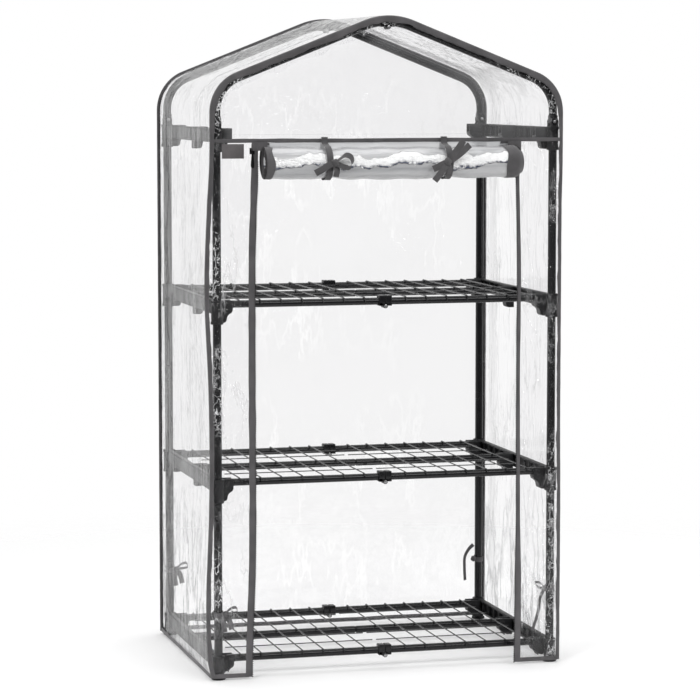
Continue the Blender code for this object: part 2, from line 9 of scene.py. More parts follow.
import bmesh
import bpy
import numpy as np
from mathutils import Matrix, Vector


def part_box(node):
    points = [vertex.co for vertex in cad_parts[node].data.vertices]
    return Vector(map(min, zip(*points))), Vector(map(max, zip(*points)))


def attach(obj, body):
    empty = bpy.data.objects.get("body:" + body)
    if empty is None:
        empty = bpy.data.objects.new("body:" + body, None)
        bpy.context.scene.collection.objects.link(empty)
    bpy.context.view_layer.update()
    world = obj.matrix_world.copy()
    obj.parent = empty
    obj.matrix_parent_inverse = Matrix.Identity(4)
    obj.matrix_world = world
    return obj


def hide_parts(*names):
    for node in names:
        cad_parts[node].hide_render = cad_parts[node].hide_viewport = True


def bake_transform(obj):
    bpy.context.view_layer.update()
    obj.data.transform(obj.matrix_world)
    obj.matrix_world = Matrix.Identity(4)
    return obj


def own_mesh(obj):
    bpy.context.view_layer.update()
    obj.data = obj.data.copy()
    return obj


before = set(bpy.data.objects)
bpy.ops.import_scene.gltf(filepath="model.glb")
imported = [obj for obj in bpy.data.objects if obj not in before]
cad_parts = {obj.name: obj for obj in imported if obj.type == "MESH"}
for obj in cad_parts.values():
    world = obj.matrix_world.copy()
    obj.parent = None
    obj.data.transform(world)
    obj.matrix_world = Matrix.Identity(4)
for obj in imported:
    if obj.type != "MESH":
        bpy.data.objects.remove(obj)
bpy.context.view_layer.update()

# Places and sizes read from the frame


def centre(node_name):
    low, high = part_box(node_name)
    return (Vector(low) + Vector(high)) / 2


SIDES = {"left": -1, "right": 1}
ENDS = {"front": -1, "back": 1}
LEVELS = ("bottom", "middle", "top")
LEG_X = centre("leg_front_right").x
LEG_Y = {end: centre(f"leg_{end}_right").y for end in ENDS}
PIVOT_Z = centre("eave_pin_front_left").z
OUT_X, BACK_Y, RIDGE_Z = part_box("cover_back")[1]
HEM_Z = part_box("cover_back")[0].z
FRONT_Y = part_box("cover_front_gable")[0].y
SEAM_LOW, SEAM_HIGH = (corner.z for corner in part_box("seam_tape"))
STRIP_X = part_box("cover_strip_right")[0].x
ROLL = centre("door_roll")
ROLL_LOW, ROLL_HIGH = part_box("door_roll")
ROLL_RADIUS = (ROLL_HIGH.z - ROLL_LOW.z) / 2
TIE_X = {side: centre(f"door_tie_{side}").x for side in SIDES}
PIN_BELOW_RAIL = 0.009
RAIL_Z = {level: centre(f"shelf_pin_{level}_front").z + PIN_BELOW_RAIL for level in LEVELS}
RAIL_Z["eave"] = PIVOT_Z - 0.018
RAIL_Y = {end: centre(f"shelf_pin_top_{end}").y for end in ENDS}
RAIL_Y["middle"] = (RAIL_Y["front"] + RAIL_Y["back"]) / 2

# The frame's own dimensions, as it was designed
TUBE_RADIUS = 0.008
RAIL_RADIUS = 0.007
SHELF_PIVOT_X = LEG_X - 0.024
ROOF_SLOPE = math.radians(21.5)
SHOULDER_RADIUS = 0.067
SHOULDER_Z = 1.070
APEX_RADIUS = 0.120
APEX_Z = RIDGE_Z - 0.0105
SLEEVE_RADIUS = 0.012
WIRE_RADIUS = 0.0013
LONG_WIRE_RADIUS = 0.0010
WIRE_PITCH = 0.0407
WIRES_PER_HALF = 7
BLOCK_LENGTH = 0.0125
BLOCK_WIDTH = 0.020

# The cover: how far its film lies outside the tube's axis, and how its sheets are meshed
ROOF_FILM = 0.0100
SIDE_FILM = OUT_X - LEG_X - 0.0005
RIM_INSET = 0.0012
SHEET_STEP = 0.006

# Small helpers for curves and noise


def resample(points, step):
    """The same open line with evenly spaced points, about step apart."""
    points = np.asarray(points, float)
    measured = travelled(points)
    count = max(int(round(measured[-1] / step)), 1) + 1
    at = np.linspace(0, measured[-1], count)
    return np.stack([np.interp(at, measured, points[:, k]) for k in range(points.shape[1])], -1)


def travelled(points):
    """The length along a line up to each of its points."""
    return np.concatenate([[0], np.cumsum(np.linalg.norm(np.diff(points, axis=0), axis=1))])


def smooth_line(points, step):
    """A smooth curve through a few points (Catmull-Rom), evenly spaced."""
    points = np.asarray(points, float)
    padded = np.vstack([2 * points[0] - points[1], points, 2 * points[-1] - points[-2]])
    t = np.linspace(0, 1, 12, endpoint=False)[:, None]
    pieces = []
    for p0, p1, p2, p3 in zip(padded, padded[1:], padded[2:], padded[3:]):
        square, cube = 2 * p0 - 5 * p1 + 4 * p2 - p3, 3 * p1 - p0 - 3 * p2 + p3
        pieces.append(0.5 * (2 * p1 + (p2 - p0) * t + square * t**2 + cube * t**3))
    return resample(np.vstack([*pieces, points[-1:]]), step)


def eased(value, width):
    """0 at or below 0, 1 at or above width, smooth between."""
    t = np.clip(np.asarray(value, float) / width, 0, 1)
    return t * t * (3 - 2 * t)


def crumple(a, b, seed, size, folds=8):
    """Film that was folded up and opened again: straight creases of limited length, from about -1 to 1."""
    chance = np.random.default_rng(seed)
    total = np.zeros(np.broadcast(a, b).shape)
    weight = 0
    for _ in range(folds):
        angle = chance.uniform(0, math.pi)
        across = a * math.cos(angle) + b * math.sin(angle)
        along = b * math.cos(angle) - a * math.sin(angle)
        span = size * chance.uniform(0.6, 1.8)
        starts = chance.uniform(0, 2 * math.pi, 4)
        bend = 0.3 * np.sin(along / (1.7 * span) + starts[0])
        ridge = 1 - np.abs(((across / span + bend + starts[1]) % 1) * 2 - 1)
        patch = np.sin(along / (1.9 * span) + starts[2]) * np.sin(across / (2.6 * span) + starts[3])
        total = total + (ridge - 0.5) * (0.5 + 0.5 * patch) * span
        weight += span
    return total / weight * 3.2


def drape(a, b, seed, width):
    """Soft folds that run along b and wander a little, from about -1 to 1."""
    chance = np.random.default_rng(seed)
    total = np.zeros(np.broadcast(a, b).shape)
    for _ in range(5):
        starts = chance.uniform(0, 2 * math.pi, 3)
        length = width * chance.uniform(0.6, 1.7)
        drift = 0.8 * np.sin(b * chance.uniform(2, 5) + starts[0])
        fade = 0.6 + 0.4 * np.sin(b * chance.uniform(3, 8) + starts[1])
        total = total + fade * np.sin(2 * math.pi * a / length + drift + starts[2])
    return total / 3


def wave(along, seed, width):
    """The same folds for a value that changes along one direction only."""
    return drape(along, along * 0, seed, width)


def row(start, end, count):
    return np.linspace(start, end, count)[None, :]


def column(start, end, count):
    return np.linspace(start, end, count)[:, None]


def grid(x, y, z):
    return np.stack(np.broadcast_arrays(x, y, z), -1)


# Mesh helpers


def link(name, mesh, *materials):
    piece = bpy.data.objects.new(name, mesh)
    bpy.context.scene.collection.objects.link(piece)
    for material in materials:
        mesh.materials.append(material)
    return piece


def sheet_piece(name, points, material, measures):
    """A sheet from an array of points (rows, columns, 3), with its flat measures in metres as its UV map."""
    rows, columns = points.shape[:2]
    index = np.arange(rows * columns).reshape(rows, columns)
    quads = np.stack([index[:-1, :-1], index[:-1, 1:], index[1:, 1:], index[1:, :-1]], -1).reshape(-1, 4)
    mesh = bpy.data.meshes.new(name)
    mesh.from_pydata(points.reshape(-1, 3).tolist(), [], quads.tolist())
    uv = mesh.uv_layers.new(name="flat")
    flat = np.stack(np.broadcast_arrays(*measures), -1).reshape(-1, 2)
    uv.data.foreach_set("uv", flat[quads.reshape(-1)].astype(np.float32).reshape(-1))
    mesh.shade_smooth()
    return link(name, mesh, material)


def piece_of(name, bm, *materials, sharp=30):
    """An object from a bmesh of closed shapes, sharp where faces meet at more than an angle in degrees."""
    bmesh.ops.recalc_face_normals(bm, faces=bm.faces)
    piece = smooth_piece(name, bm, *materials)
    piece.data.set_sharp_from_angle(angle=math.radians(sharp))
    return piece


def smooth_piece(name, bm, *materials):
    mesh = bpy.data.meshes.new(name)
    bm.to_mesh(mesh)
    bm.free()
    mesh.shade_smooth()
    return link(name, mesh, *materials)


def circle(count):
    """Cosine and sine at evenly spaced angles."""
    return [(math.cos(2 * math.pi * k / count), math.sin(2 * math.pi * k / count)) for k in range(count)]


def add_rings(bm, rings, slot=0, closed=False):
    """Faces between rings of points, with both ends capped, or the last ring joined to the first."""
    made = [[bm.verts.new(p) for p in ring] for ring in rings]
    pairs = list(zip(made, made[1:]))
    if closed:
        pairs.append((made[-1], made[0]))
    for first, second in pairs:
        for i in range(len(first)):
            j = (i + 1) % len(first)
            bm.faces.new((first[i], first[j], second[j], second[i])).material_index = slot
    if not closed:
        bm.faces.new(made[0][::-1]).material_index = slot
        bm.faces.new(made[-1]).material_index = slot


def frames_along(path, up):
    """For each point of a path: the point, and two directions across the path, the first near up."""
    path = [Vector(p) for p in path]
    up = Vector(up)
    found = []
    for i, point in enumerate(path):
        along = (path[min(i + 1, len(path) - 1)] - path[max(i - 1, 0)]).normalized()
        across = along.cross(up).normalized()
        up = across.cross(along).normalized()
        found.append((point, up, across))
    return found


def add_tube(bm, path, radius, sides=16, slot=0, up=(0, 0, 1)):
    """A round bar along a path, with its end edges rounded off."""
    spots = frames_along(path, up)
    rings = [[point + (a * c + b * s) * radius for c, s in circle(sides)] for point, a, b in spots]
    caps = []
    for end, inner in ((0, 1), (-1, -2)):
        tip = spots[end][0]
        outward = (tip - spots[inner][0]).normalized() * (radius * 0.25)
        caps.append([p + outward + (tip - p) * 0.25 for p in rings[end]])
    add_rings(bm, [caps[0], *rings, caps[1]], slot)


def add_block(bm, low, high, bevel=0.0008, slot=0):
    """A box with rounded edges."""
    made = bmesh.ops.create_cube(bm, size=1)["verts"]
    low, high = Vector(low), Vector(high)
    middle = (low + high) / 2
    size = Vector(map(abs, high - low))
    for vertex in made:
        vertex.co = middle + vertex.co * size
    edges = list({edge for vertex in made for edge in vertex.link_edges})
    faces = {face for vertex in made for face in vertex.link_faces}
    cut = bmesh.ops.bevel(bm, geom=edges, offset=bevel, segments=2, affect="EDGES", profile=0.5)
    for face in faces | set(cut["faces"]):
        if face.is_valid:
            face.material_index = slot


def add_turned(bm, origin, axis, profile, sides=24, slot=0, bored=False):
    """A shape turned about an axis, from points (radius, height). A bored one's profile is a closed loop."""
    axis = Vector(axis).normalized()
    a = axis.orthogonal().normalized()
    b = axis.cross(a)
    origin = Vector(origin)
    rings = [[origin + axis * h + (a * c + b * s) * r for c, s in circle(sides)] for r, h in profile]
    add_rings(bm, rings, slot, closed=bored)


# Materials


class Field:
    """A number that varies over a surface: a shader node's output, with plain arithmetic."""

    def __init__(self, socket):
        self.socket = socket

    def calc(self, operation, *values):
        made = node(self.socket.id_data, "Math", dict(enumerate(values)), operation=operation)
        return Field(made.outputs[0])

    def __add__(self, other):
        return self.calc("ADD", self, other)

    def __sub__(self, other):
        return self.calc("SUBTRACT", self, other)

    def __rsub__(self, other):
        return self.calc("SUBTRACT", other, self)

    def __mul__(self, other):
        return self.calc("MULTIPLY", self, other)

    def __pow__(self, other):
        return self.calc("POWER", self, other)

    def __abs__(self):
        return self.calc("ABSOLUTE", self)

    def sine(self):
        return self.calc("SINE", self)

    def at_least(self, other):
        return self.calc("MAXIMUM", self, other)

    def at_most(self, other):
        return self.calc("MINIMUM", self, other)

    def ranged(self, low, high, to_low=0.0, to_high=1.0):
        names = {"Value": self, "From Min": low, "From Max": high, "To Min": to_low, "To Max": to_high}
        return Field(node(self.socket.id_data, "MapRange", names).outputs["Result"])

    def ridges(self, width):
        """1 where a noise crosses its middle value, 0 away from there: long wandering creases."""
        return abs(self - 0.5).ranged(0.0, width, 1.0, 0.0)


def node(tree, kind, inputs=None, **settings):
    """A shader node with its inputs set to values or linked to other nodes' outputs."""
    made = tree.nodes.new("ShaderNode" + kind)
    for key, value in settings.items():
        setattr(made, key, value)
    for key, value in (inputs or {}).items():
        value = value.socket if isinstance(value, Field) else value
        if isinstance(value, bpy.types.NodeSocket):
            tree.links.new(value, made.inputs[key])
        else:
            made.inputs[key].default_value = value
    return made


def blank_tree(owner):
    owner.use_nodes = True
    owner.node_tree.nodes.clear()
    return owner.node_tree


def new_material(name):
    """A material, its empty tree and the places on its object."""
    made = bpy.data.materials.new(name)
    tree = blank_tree(made)
    return made, tree, node(tree, "TexCoord").outputs["Object"]


def surface(tree, shading, output="OutputMaterial"):
    node(tree, output, {"Surface": shading})


def noise(tree, place, scale, detail=3.0, rough=0.5):
    inputs = {"Vector": place, "Scale": scale, "Detail": detail, "Roughness": rough}
    return Field(node(tree, "TexNoise", inputs).outputs[0])


def stretched(tree, place, scale):
    return node(tree, "Mapping", {"Vector": place, "Scale": scale}).outputs[0]


def parts(tree, vector):
    return [Field(output) for output in node(tree, "SeparateXYZ", {"Vector": vector}).outputs]


def bumped(tree, height, strength, distance):
    return node(tree, "Bump", {"Height": height, "Strength": strength, "Distance": distance}).outputs[0]


def facing(tree, **inputs):
    return Field(node(tree, "LayerWeight", {"Blend": 0.5, **inputs}).outputs["Facing"])


def colours(tree, factor, first, second):
    first, second = ((*c, 1) if isinstance(c, tuple) else c for c in (first, second))
    return node(tree, "Mix", {0: factor, 6: first, 7: second}, data_type="RGBA").outputs[2]


def shader(tree, kind, **inputs):
    """A shader, with its inputs named by their labels with _ for each space."""
    return node(tree, kind, {key.replace("_", " "): value for key, value in inputs.items()}).outputs[0]


def blended(tree, share, first, second):
    return node(tree, "MixShader", {0: share, 1: first, 2: second}).outputs[0]


def see_through(tree, tint=(1, 1, 1, 1)):
    return shader(tree, "BsdfTransparent", Color=tint)


def inside_outline(tree, place):
    """0 beside the arch, 1 from a few centimetres inside it, on the cover's front."""
    x, _, z = parts(tree, place)
    across = abs(x)
    roof = RIDGE_Z + 0.006 - across * math.tan(ROOF_SLOPE)
    return (roof - z).ranged(0.026, 0.046) * (LEG_X - across).ranged(0.006, 0.022)


def make_film(name, haze, crinkle, grain=1.0, painted_shade=1.0, painted_glints=0.0, line=0.022, gloss=1.0, crackle=False,
              gable=False, strokes=0.0):
    """Clear soft PVC: see-through face on, mirror-like at a slant, with painted glints as milky white lines
    along its creases, and painted shade that darkens its tint along creases, in streaks and at a slant.
    """
    made, tree, place = new_material(name)
    long_flow = noise(tree, stretched(tree, place, (1.0, 1.0, 0.3)), 17 * grain, 4.0, 0.62)
    streaks = noise(tree, stretched(tree, place, (1.0, 1.0, 0.10)), 95, 4.0, 0.65)
    flow = noise(tree, place, 11 * grain, 3.0, 0.55)
    fine = noise(tree, place, 55 * grain, 3.0, 0.6)
    patches = noise(tree, place, 5.0, 3.0, 0.6).ranged(0.46, 0.66)
    folds = long_flow.ridges(line)
    small = fine.ridges(line * 1.8) * patches
    normal = bumped(tree, folds * 0.30 + small * 0.35 + flow * 1.8, crinkle, 0.004)
    sheen = facing(tree, Normal=normal) ** 6.0 * streaks.ranged(0.36, 0.64, 0.5, 1.3)
    mirror = (sheen * (0.8 * gloss) + 0.055 * gloss).at_most(0.92)
    slant = facing(tree)
    # Painted shade: dark streaks in the tint, stronger at a slant, stand in for dark reflections.
    slant_streak_shade = streaks.ranged(0.52, 0.66) * slant**3.0
    # Painted shade: the tint is darker along the creases.
    crease_shade = folds * (patches * 0.26 + 0.05)
    # Painted shade: dark scribbles lower down, stronger at a slant, stand in for dark reflections.
    low_down = parts(tree, place)[2].ranged(0.12, 0.34, 1.0, 0.0)
    scribble = long_flow.ridges(0.05) * (low_down * slant)
    # The painted shade in all: creases, streaks, darker at a grazing slant, and the low scribbles.
    shade = (crease_shade + slant_streak_shade * 0.30) * painted_shade + slant**6.0 * 0.12 + scribble * (0.75 * painted_shade)
    clear = see_through(tree, colours(tree, shade.at_most(1.0), (0.972, 0.970, 0.974), (0.36, 0.36, 0.37)))
    rough = patches.ranged(0.0, 1.0, 0.04, 0.10)
    glossy = shader(tree, "BsdfGlossy", Color=(1, 1, 1, 1), Roughness=rough, Normal=normal)
    milky = shader(tree, "BsdfDiffuse", Color=(0.80, 0.80, 0.81, 1))
    share = (patches * 0.5 + 0.8) * haze
    if gable:
        share = share * inside_outline(tree, place)
    # Painted glints: milky white lines along the creases, with the small crinkles too where crackle is set.
    lines = folds * patches
    if crackle:
        lines = lines.at_least(small)
    share = (share + lines * painted_glints).at_most(1.0)
    whole = blended(tree, share, blended(tree, mirror, clear, glossy), milky)
    # Painted reflections: along the same lines the back film turns plainly clear, brighter than the film
    # round them.
    if strokes:
        whole = blended(tree, lines * strokes, whole, see_through(tree))
    surface(tree, whole)
    return made


def make_rolled_film():
    """Many turns of the same film: smooth silvery bands, with a crushed band between them painted white as a
    highlight and flecked dark towards its lower edge.
    """
    made, tree, place = new_material("rolled_film")
    bands = noise(tree, stretched(tree, place, (2.2, 42.0, 42.0)), 1.3, 3.0, 0.55)
    crush = noise(tree, stretched(tree, place, (0.6, 1.0, 1.0)), 120, 3.0, 0.6)
    fine = noise(tree, place, 260, 2.0)
    wander = (noise(tree, place, 16, 3.0, 0.6) - 0.5) * 0.055
    down = ROLL.z + 0.002 - (parts(tree, place)[2] + wander)
    crushed = abs(down).ranged(0.0105, 0.0125, 1.0, 0.0)
    # Painted highlight: the crushed band is white, with dark flecks and a dark rim towards its lower edge.
    flecks = crush.ridges(0.11) * down.ranged(0.004, 0.010, 0.06, 1.0)
    rim = down.ranged(0.0055, 0.0090) * noise(tree, place, 60, 2.0).ranged(0.47, 0.54)
    normal = bumped(tree, (crush + fine * 0.3) * crushed + bands * 0.5, 0.8, 0.006)
    smooth_tone = colours(tree, bands.ranged(0.35, 0.68), (0.78, 0.78, 0.79), (0.44, 0.445, 0.46))
    painted_glint_tone = colours(tree, flecks.at_least(rim), (1.0, 1.0, 1.0), (0.03, 0.04, 0.08))
    body = shader(
        tree, "BsdfPrincipled", Base_Color=colours(tree, crushed, smooth_tone, painted_glint_tone), Normal=normal,
        Roughness=0.20, Specular_IOR_Level=0.8, Coat_Weight=0.7, Coat_Roughness=0.08, Coat_Normal=normal,
    )
    share = (1.0 - crushed) * bands.ranged(0.3, 0.7, 0.30, 0.12)
    surface(tree, blended(tree, share, body, see_through(tree, (0.95, 0.955, 0.96, 1))))
    return made


def make_fabric(name, colour, weave=0.0009, ribs=0.0):
    """Woven tape: a plain weave in its flat measures, with a soft sheen and slight fading."""
    made, tree, place = new_material(name)
    across, along, _ = parts(tree, node(tree, "UVMap").outputs[0])
    turn = 2 * math.pi / weave
    cloth = (across * turn).sine() * (along * (turn * 0.8)).sine()
    height = cloth * 0.5 + noise(tree, place, 900, 2.0)
    if ribs:
        height = height + (along * (2 * math.pi / ribs)).sine()
    faded = noise(tree, place, 26, 3.0).ranged(0.3, 0.7)
    light = tuple(min(1.0, c * 1.45) for c in colour)
    dark = tuple(c * 0.72 for c in colour)
    # Painted shade: the weave's crests are lighter and its gaps darker, in step with its bump.
    surface(tree, shader(
        tree, "BsdfPrincipled", Base_Color=colours(tree, faded * 0.6 + cloth * 0.16, dark, light),
        Normal=bumped(tree, height, 0.45, 0.0004), Roughness=0.82, Sheen_Weight=0.25, Sheen_Roughness=0.45,
    ))
    return made


def make_painted(name, colour, low_rough, high_rough, shine, peel=420, dust=0.04):
    """Powder coat or moulded plastic: fine orange peel, uneven gloss and a trace of dust."""
    made, tree, place = new_material(name)
    skin = noise(tree, place, peel, 3.0, 0.6)
    wear = noise(tree, place, 34, 5.0, 0.65)
    dusty = tuple(min(1.0, c + dust) for c in colour)
    surface(tree, shader(
        tree, "BsdfPrincipled", Base_Color=colours(tree, wear.ranged(0.5, 0.85), colour, dusty),
        Roughness=wear.ranged(0.3, 0.75, low_rough, high_rough),
        Normal=bumped(tree, skin, 0.12, 0.0006), Specular_IOR_Level=shine,
    ))
    return made


def make_steel():
    made, tree, place = new_material("plated_steel")
    brushed = noise(tree, stretched(tree, place, (90, 90, 900)), 1.0, 3.0)
    tone = colours(tree, noise(tree, place, 300, 3.0), (0.30, 0.30, 0.31), (0.50, 0.50, 0.50))
    surface(tree, shader(
        tree, "BsdfPrincipled", Base_Color=tone, Roughness=brushed.ranged(0.3, 0.7, 0.22, 0.42),
        Normal=bumped(tree, brushed, 0.15, 0.0003), Metallic=1.0,
    ))
    return made


def make_floor_material():
    """Pale, evenly lit and fading out at its rim, so that it has no horizon."""
    made, tree, place = new_material("pale_floor")
    tone = colours(tree, noise(tree, place, 3.0, 4.0), (0.88, 0.88, 0.88), (0.91, 0.91, 0.91))
    matt = shader(tree, "BsdfDiffuse", Color=tone)
    lit = shader(tree, "Emission", Color=(1, 1, 1, 1), Strength=0.11)
    ground = node(tree, "AddShader", {0: matt, 1: lit}).outputs[0]
    far = Field(node(tree, "VectorMath", {0: place}, operation="LENGTH").outputs["Value"])
    surface(tree, blended(tree, far.ranged(0.8, 1.9), ground, see_through(tree)))
    return made


# The films below: their shade amounts darken the tint as painted shade, their glint amounts paint white
# crease lines as glints, and the back film's strokes paint clear lines as reflections.
FILM = make_film("clear_film", haze=0.020, crinkle=0.30)
BACK_FILM = make_film("back_film", haze=0.065, crinkle=0.40, grain=0.8, painted_shade=0.0, line=0.034, strokes=0.9)
GABLE_FILM = make_film("gable_film", haze=0.10, crinkle=0.30, painted_shade=0.2, gloss=0.3, gable=True)
STRIP_FILM = make_film(
    "crinkled_film", haze=0.012, crinkle=0.7, grain=1.1, painted_shade=0.6, painted_glints=0.45, line=0.026, gloss=0.5
)
EDGE_FILM = make_film(
    "edge_film", haze=0.0, crinkle=0.6, grain=1.2, painted_glints=1.5, line=0.010, gloss=0.25, crackle=True
)
ROLLED = make_rolled_film()
FABRIC = make_fabric("grey_fabric", (0.098, 0.094, 0.098))
RIBBON = make_fabric("grey_ribbon", (0.088, 0.085, 0.088), weave=0.0011, ribs=0.0022)
LABEL = make_fabric("blank_label", (0.135, 0.125, 0.128), weave=0.0007)
THREAD = make_fabric("grey_thread", (0.17, 0.165, 0.17), weave=0.0005)
TUBE = make_painted("black_tube", (0.006, 0.006, 0.007), 0.18, 0.32, 0.35, dust=0.008)
MOULDED = make_painted("moulded_black", (0.010, 0.010, 0.011), 0.34, 0.55, 0.3, peel=700, dust=0.012)
STEEL = make_steel()


def finish(piece, body, *nodes, slot=None):
    """The piece rides on a body and stands for these CAD nodes."""
    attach(piece, body)
    if nodes:
        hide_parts(*nodes)


# Frame


def half_arch(side_offset, roof_offset, low_z, step):
    """Points (x, z) up the right leg, over the shoulder and along the roof to the ridge.

    The offsets are how far the line stands outside the tube's axis, on the side and on the roof.
    """
    points = [(LEG_X + side_offset, low_z)]
    turn = math.pi / 2 - ROOF_SLOPE
    for part in np.linspace(0, 1, 17):
        radius = SHOULDER_RADIUS + side_offset + (roof_offset - side_offset) * part
        x = LEG_X - SHOULDER_RADIUS + radius * math.cos(turn * part)
        points.append((x, SHOULDER_Z + radius * math.sin(turn * part)))
    radius = APEX_RADIUS + roof_offset
    for angle in np.linspace(ROOF_SLOPE, 0, 9):
        points.append((radius * math.sin(angle), APEX_Z - APEX_RADIUS + radius * math.cos(angle)))
    return resample(points, step)


def make_leg(end, side):
    name = f"leg_{end}_{side}"
    low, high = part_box(name)
    x, y = SIDES[side] * LEG_X, LEG_Y[end]
    bm = bmesh.new()
    add_tube(bm, [(x, y, z) for z in np.linspace(low.z, high.z, 12)], TUBE_RADIUS, 24, up=(0, 1, 0))
    finish(piece_of(name + "_tube", bm, TUBE, sharp=40), f"{side}_frame", name, slot="black_tube")


def make_foot(end, side):
    """The cap under a leg: a socket on a flared, rounded foot."""
    name = f"foot_{end}_{side}"
    low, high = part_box(name)
    r = (high.x - low.x) / 2
    top = high.z - low.z
    bore = TUBE_RADIUS + 0.0004
    floor = 0.0026
    profile = [(bore, top), (r - 0.0042, top), (r - 0.0030, top - 0.0012), (r - 0.0026, 0.0052)]
    profile += [(r - 0.0006, 0.0040), (r, 0.0030), (r, 0.0010), (r - 0.0008, 0.0)]
    profile += [(0.004, 0.0), (0.004, floor), (bore, floor)]
    bm = bmesh.new()
    add_turned(bm, (SIDES[side] * LEG_X, LEG_Y[end], low.z), (0, 0, 1), profile, 32, bored=True)
    finish(piece_of(name + "_cap", bm, MOULDED), f"{side}_frame", name, slot="moulded_black")


def add_sleeve(bm, x, y, low, high):
    """The beam's round sleeve on a leg, with a collar at each end."""
    bore = TUBE_RADIUS + 0.0003
    r = SLEEVE_RADIUS
    profile = [(bore, low), (r - 0.0008, low), (r, low + 0.0008), (r, low + 0.0050)]
    profile += [(r - 0.0010, low + 0.0058), (r - 0.0010, high - 0.0058), (r, high - 0.0050)]
    profile += [(r, high - 0.0008), (r - 0.0008, high), (bore, high)]
    add_turned(bm, (x, y, 0), (0, 0, 1), profile, 32, bored=True)


def add_fork(bm, sign, y, rail_z, low_z, screwed):
    """A moulded fork that carries a rail end: two cheeks on a base, with a bracket swept down to the leg."""
    inner = sign * (SHELF_PIVOT_X - 0.008)
    outer = sign * (LEG_X - 0.004)
    for outward in (-1, 1):
        low = (inner, y + outward * 0.0078, rail_z - 0.0100)
        add_block(bm, low, (outer, y + outward * 0.0120, rail_z + 0.0080), 0.0012)
    add_block(bm, (inner, y - 0.0120, rail_z - 0.0120), (outer, y + 0.0120, rail_z - 0.0080), 0.0012)
    outline = [(0.004, rail_z - 0.0075), (0.0312, rail_z - 0.0075), (0.0316, rail_z - 0.0118)]
    outline += [(0.0300, rail_z - 0.0152), (0.0255, rail_z - 0.0180), (0.0222, rail_z - 0.0212)]
    outline += [(0.0208, rail_z - 0.0250), (0.0204, low_z + 0.0052), (0.0188, low_z + 0.0018)]
    outline += [(0.0150, low_z), (0.004, low_z)]
    middle = Vector((sign * (LEG_X - 0.014), 0, rail_z - 0.019))
    rings = []
    for across, inset in ((-0.0118, 0.0009), (-0.0109, 0.0), (0.0109, 0.0), (0.0118, 0.0009)):
        ring = []
        for reach, z in outline:
            point = Vector((sign * (LEG_X - reach), 0, z))
            point += (middle - point).normalized() * inset
            point.y = y + across
            ring.append(point)
        rings.append(ring)
    add_rings(bm, rings)
    if screwed:
        head = [(0.0040, 0.0), (0.0040, 0.0008), (0.0030, 0.0016)]
        for outward in (-1, 1):
            add_turned(bm, (sign * SHELF_PIVOT_X, y + outward * 0.0118, rail_z), (0, outward, 0), head, 16)


def make_side_beam(level, side):
    """A moulded C-section beam, open towards the inside, with ribs, leg sleeves and rail forks."""
    name = f"side_beam_{level}_{side}"
    sign = SIDES[side]
    rail_z = RAIL_Z[level]
    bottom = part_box(name)[0].z
    x = sign * LEG_X
    front, back = LEG_Y["front"] + 0.006, LEG_Y["back"] - 0.006
    low, high = rail_z - 0.018, rail_z + 0.008
    flange = 0.0032
    face, web, open_side = x + sign * 0.005, x + sign * 0.0024, x - sign * 0.005
    bm = bmesh.new()
    add_block(bm, (web, front, low), (face, back, high), 0.0008)
    add_block(bm, (open_side, front, high - flange), (face, back, high), 0.0009)
    add_block(bm, (open_side, front, low), (face, back, low + flange), 0.0009)
    for y in np.linspace(front, back, 13)[1:-1]:
        rib = (open_side + sign * 0.0008, y - 0.0011, low)
        add_block(bm, rib, (face - sign * 0.001, y + 0.0011, high), 0.0005)
    for y in LEG_Y.values():
        add_sleeve(bm, x, y, max(rail_z - 0.036, bottom), rail_z + 0.009)
    for y in RAIL_Y.values():
        add_fork(bm, sign, y, rail_z, max(rail_z - 0.034, bottom), level != "eave")
    if level == "eave":
        boss = [(0.0079, 0.0), (0.0079, 0.0026), (0.0073, 0.0031)]
        for y in LEG_Y.values():
            for outward in (-1, 1):
                near, far = y + outward * 0.0085, y + outward * 0.0116
                add_block(bm, (x - 0.0076, near, rail_z), (x + 0.0076, far, PIVOT_Z), 0.0005)
                add_turned(bm, (x, near, PIVOT_Z), (0, outward, 0), boss, 28)
    finish(piece_of(name + "_moulding", bm, MOULDED), f"{side}_frame", name, slot="moulded_black")


def make_rivet(name, body, head_room=0.0004):
    """A pin along Y with a domed head at each end."""
    low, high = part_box(name)
    reach = (high.y - low.y) / 2 - head_room
    radius = 0.0019
    head = [(0.9, 0.0010), (1.5, 0.0006), (1.7, 0.0), (1.0, 0.0)]
    profile = [(radius * wide, -reach - out) for wide, out in head]
    profile += [(radius * wide, reach + out) for wide, out in head[::-1]]
    bm = bmesh.new()
    add_turned(bm, centre(name), (0, 1, 0), profile, 16)
    finish(piece_of(name + "_rivet", bm, STEEL), body, name, slot="steel")


def make_arch(end, side):
    """Half an arch: the bent tube, the plug in the eave clevis and the hinge block under the ridge."""
    name = f"arch_{end}_{side}"
    sign = SIDES[side]
    x, y = sign * LEG_X, LEG_Y[end]
    path = half_arch(0, 0, PIVOT_Z + 0.006, SHEET_STEP)
    bm = bmesh.new()
    arch = [(sign * out, y, z) for out, z in path if out > BLOCK_LENGTH - 0.004]
    add_tube(bm, arch, TUBE_RADIUS, 24, up=(0, 1, 0))
    plug = [(0.0070, -0.0081), (0.0078, -0.0075), (0.0078, 0.0075), (0.0070, 0.0081)]
    add_turned(bm, (x, y, PIVOT_Z), (0, 1, 0), plug, 28, 1)
    add_block(bm, (x - 0.0077, y - 0.0080, PIVOT_Z), (x + 0.0077, y + 0.0080, PIVOT_Z + 0.0125), 0.0014, 1)
    knuckle = (y - BLOCK_WIDTH / 2, y + BLOCK_WIDTH / 2) if sign < 0 else None
    add_hinge_block(bm, sign, y, APEX_Z, TUBE_RADIUS, 0.0008, knuckle)
    finish(piece_of(name + "_tube", bm, TUBE, MOULDED), f"roof_{side}", name, slot="black_tube")


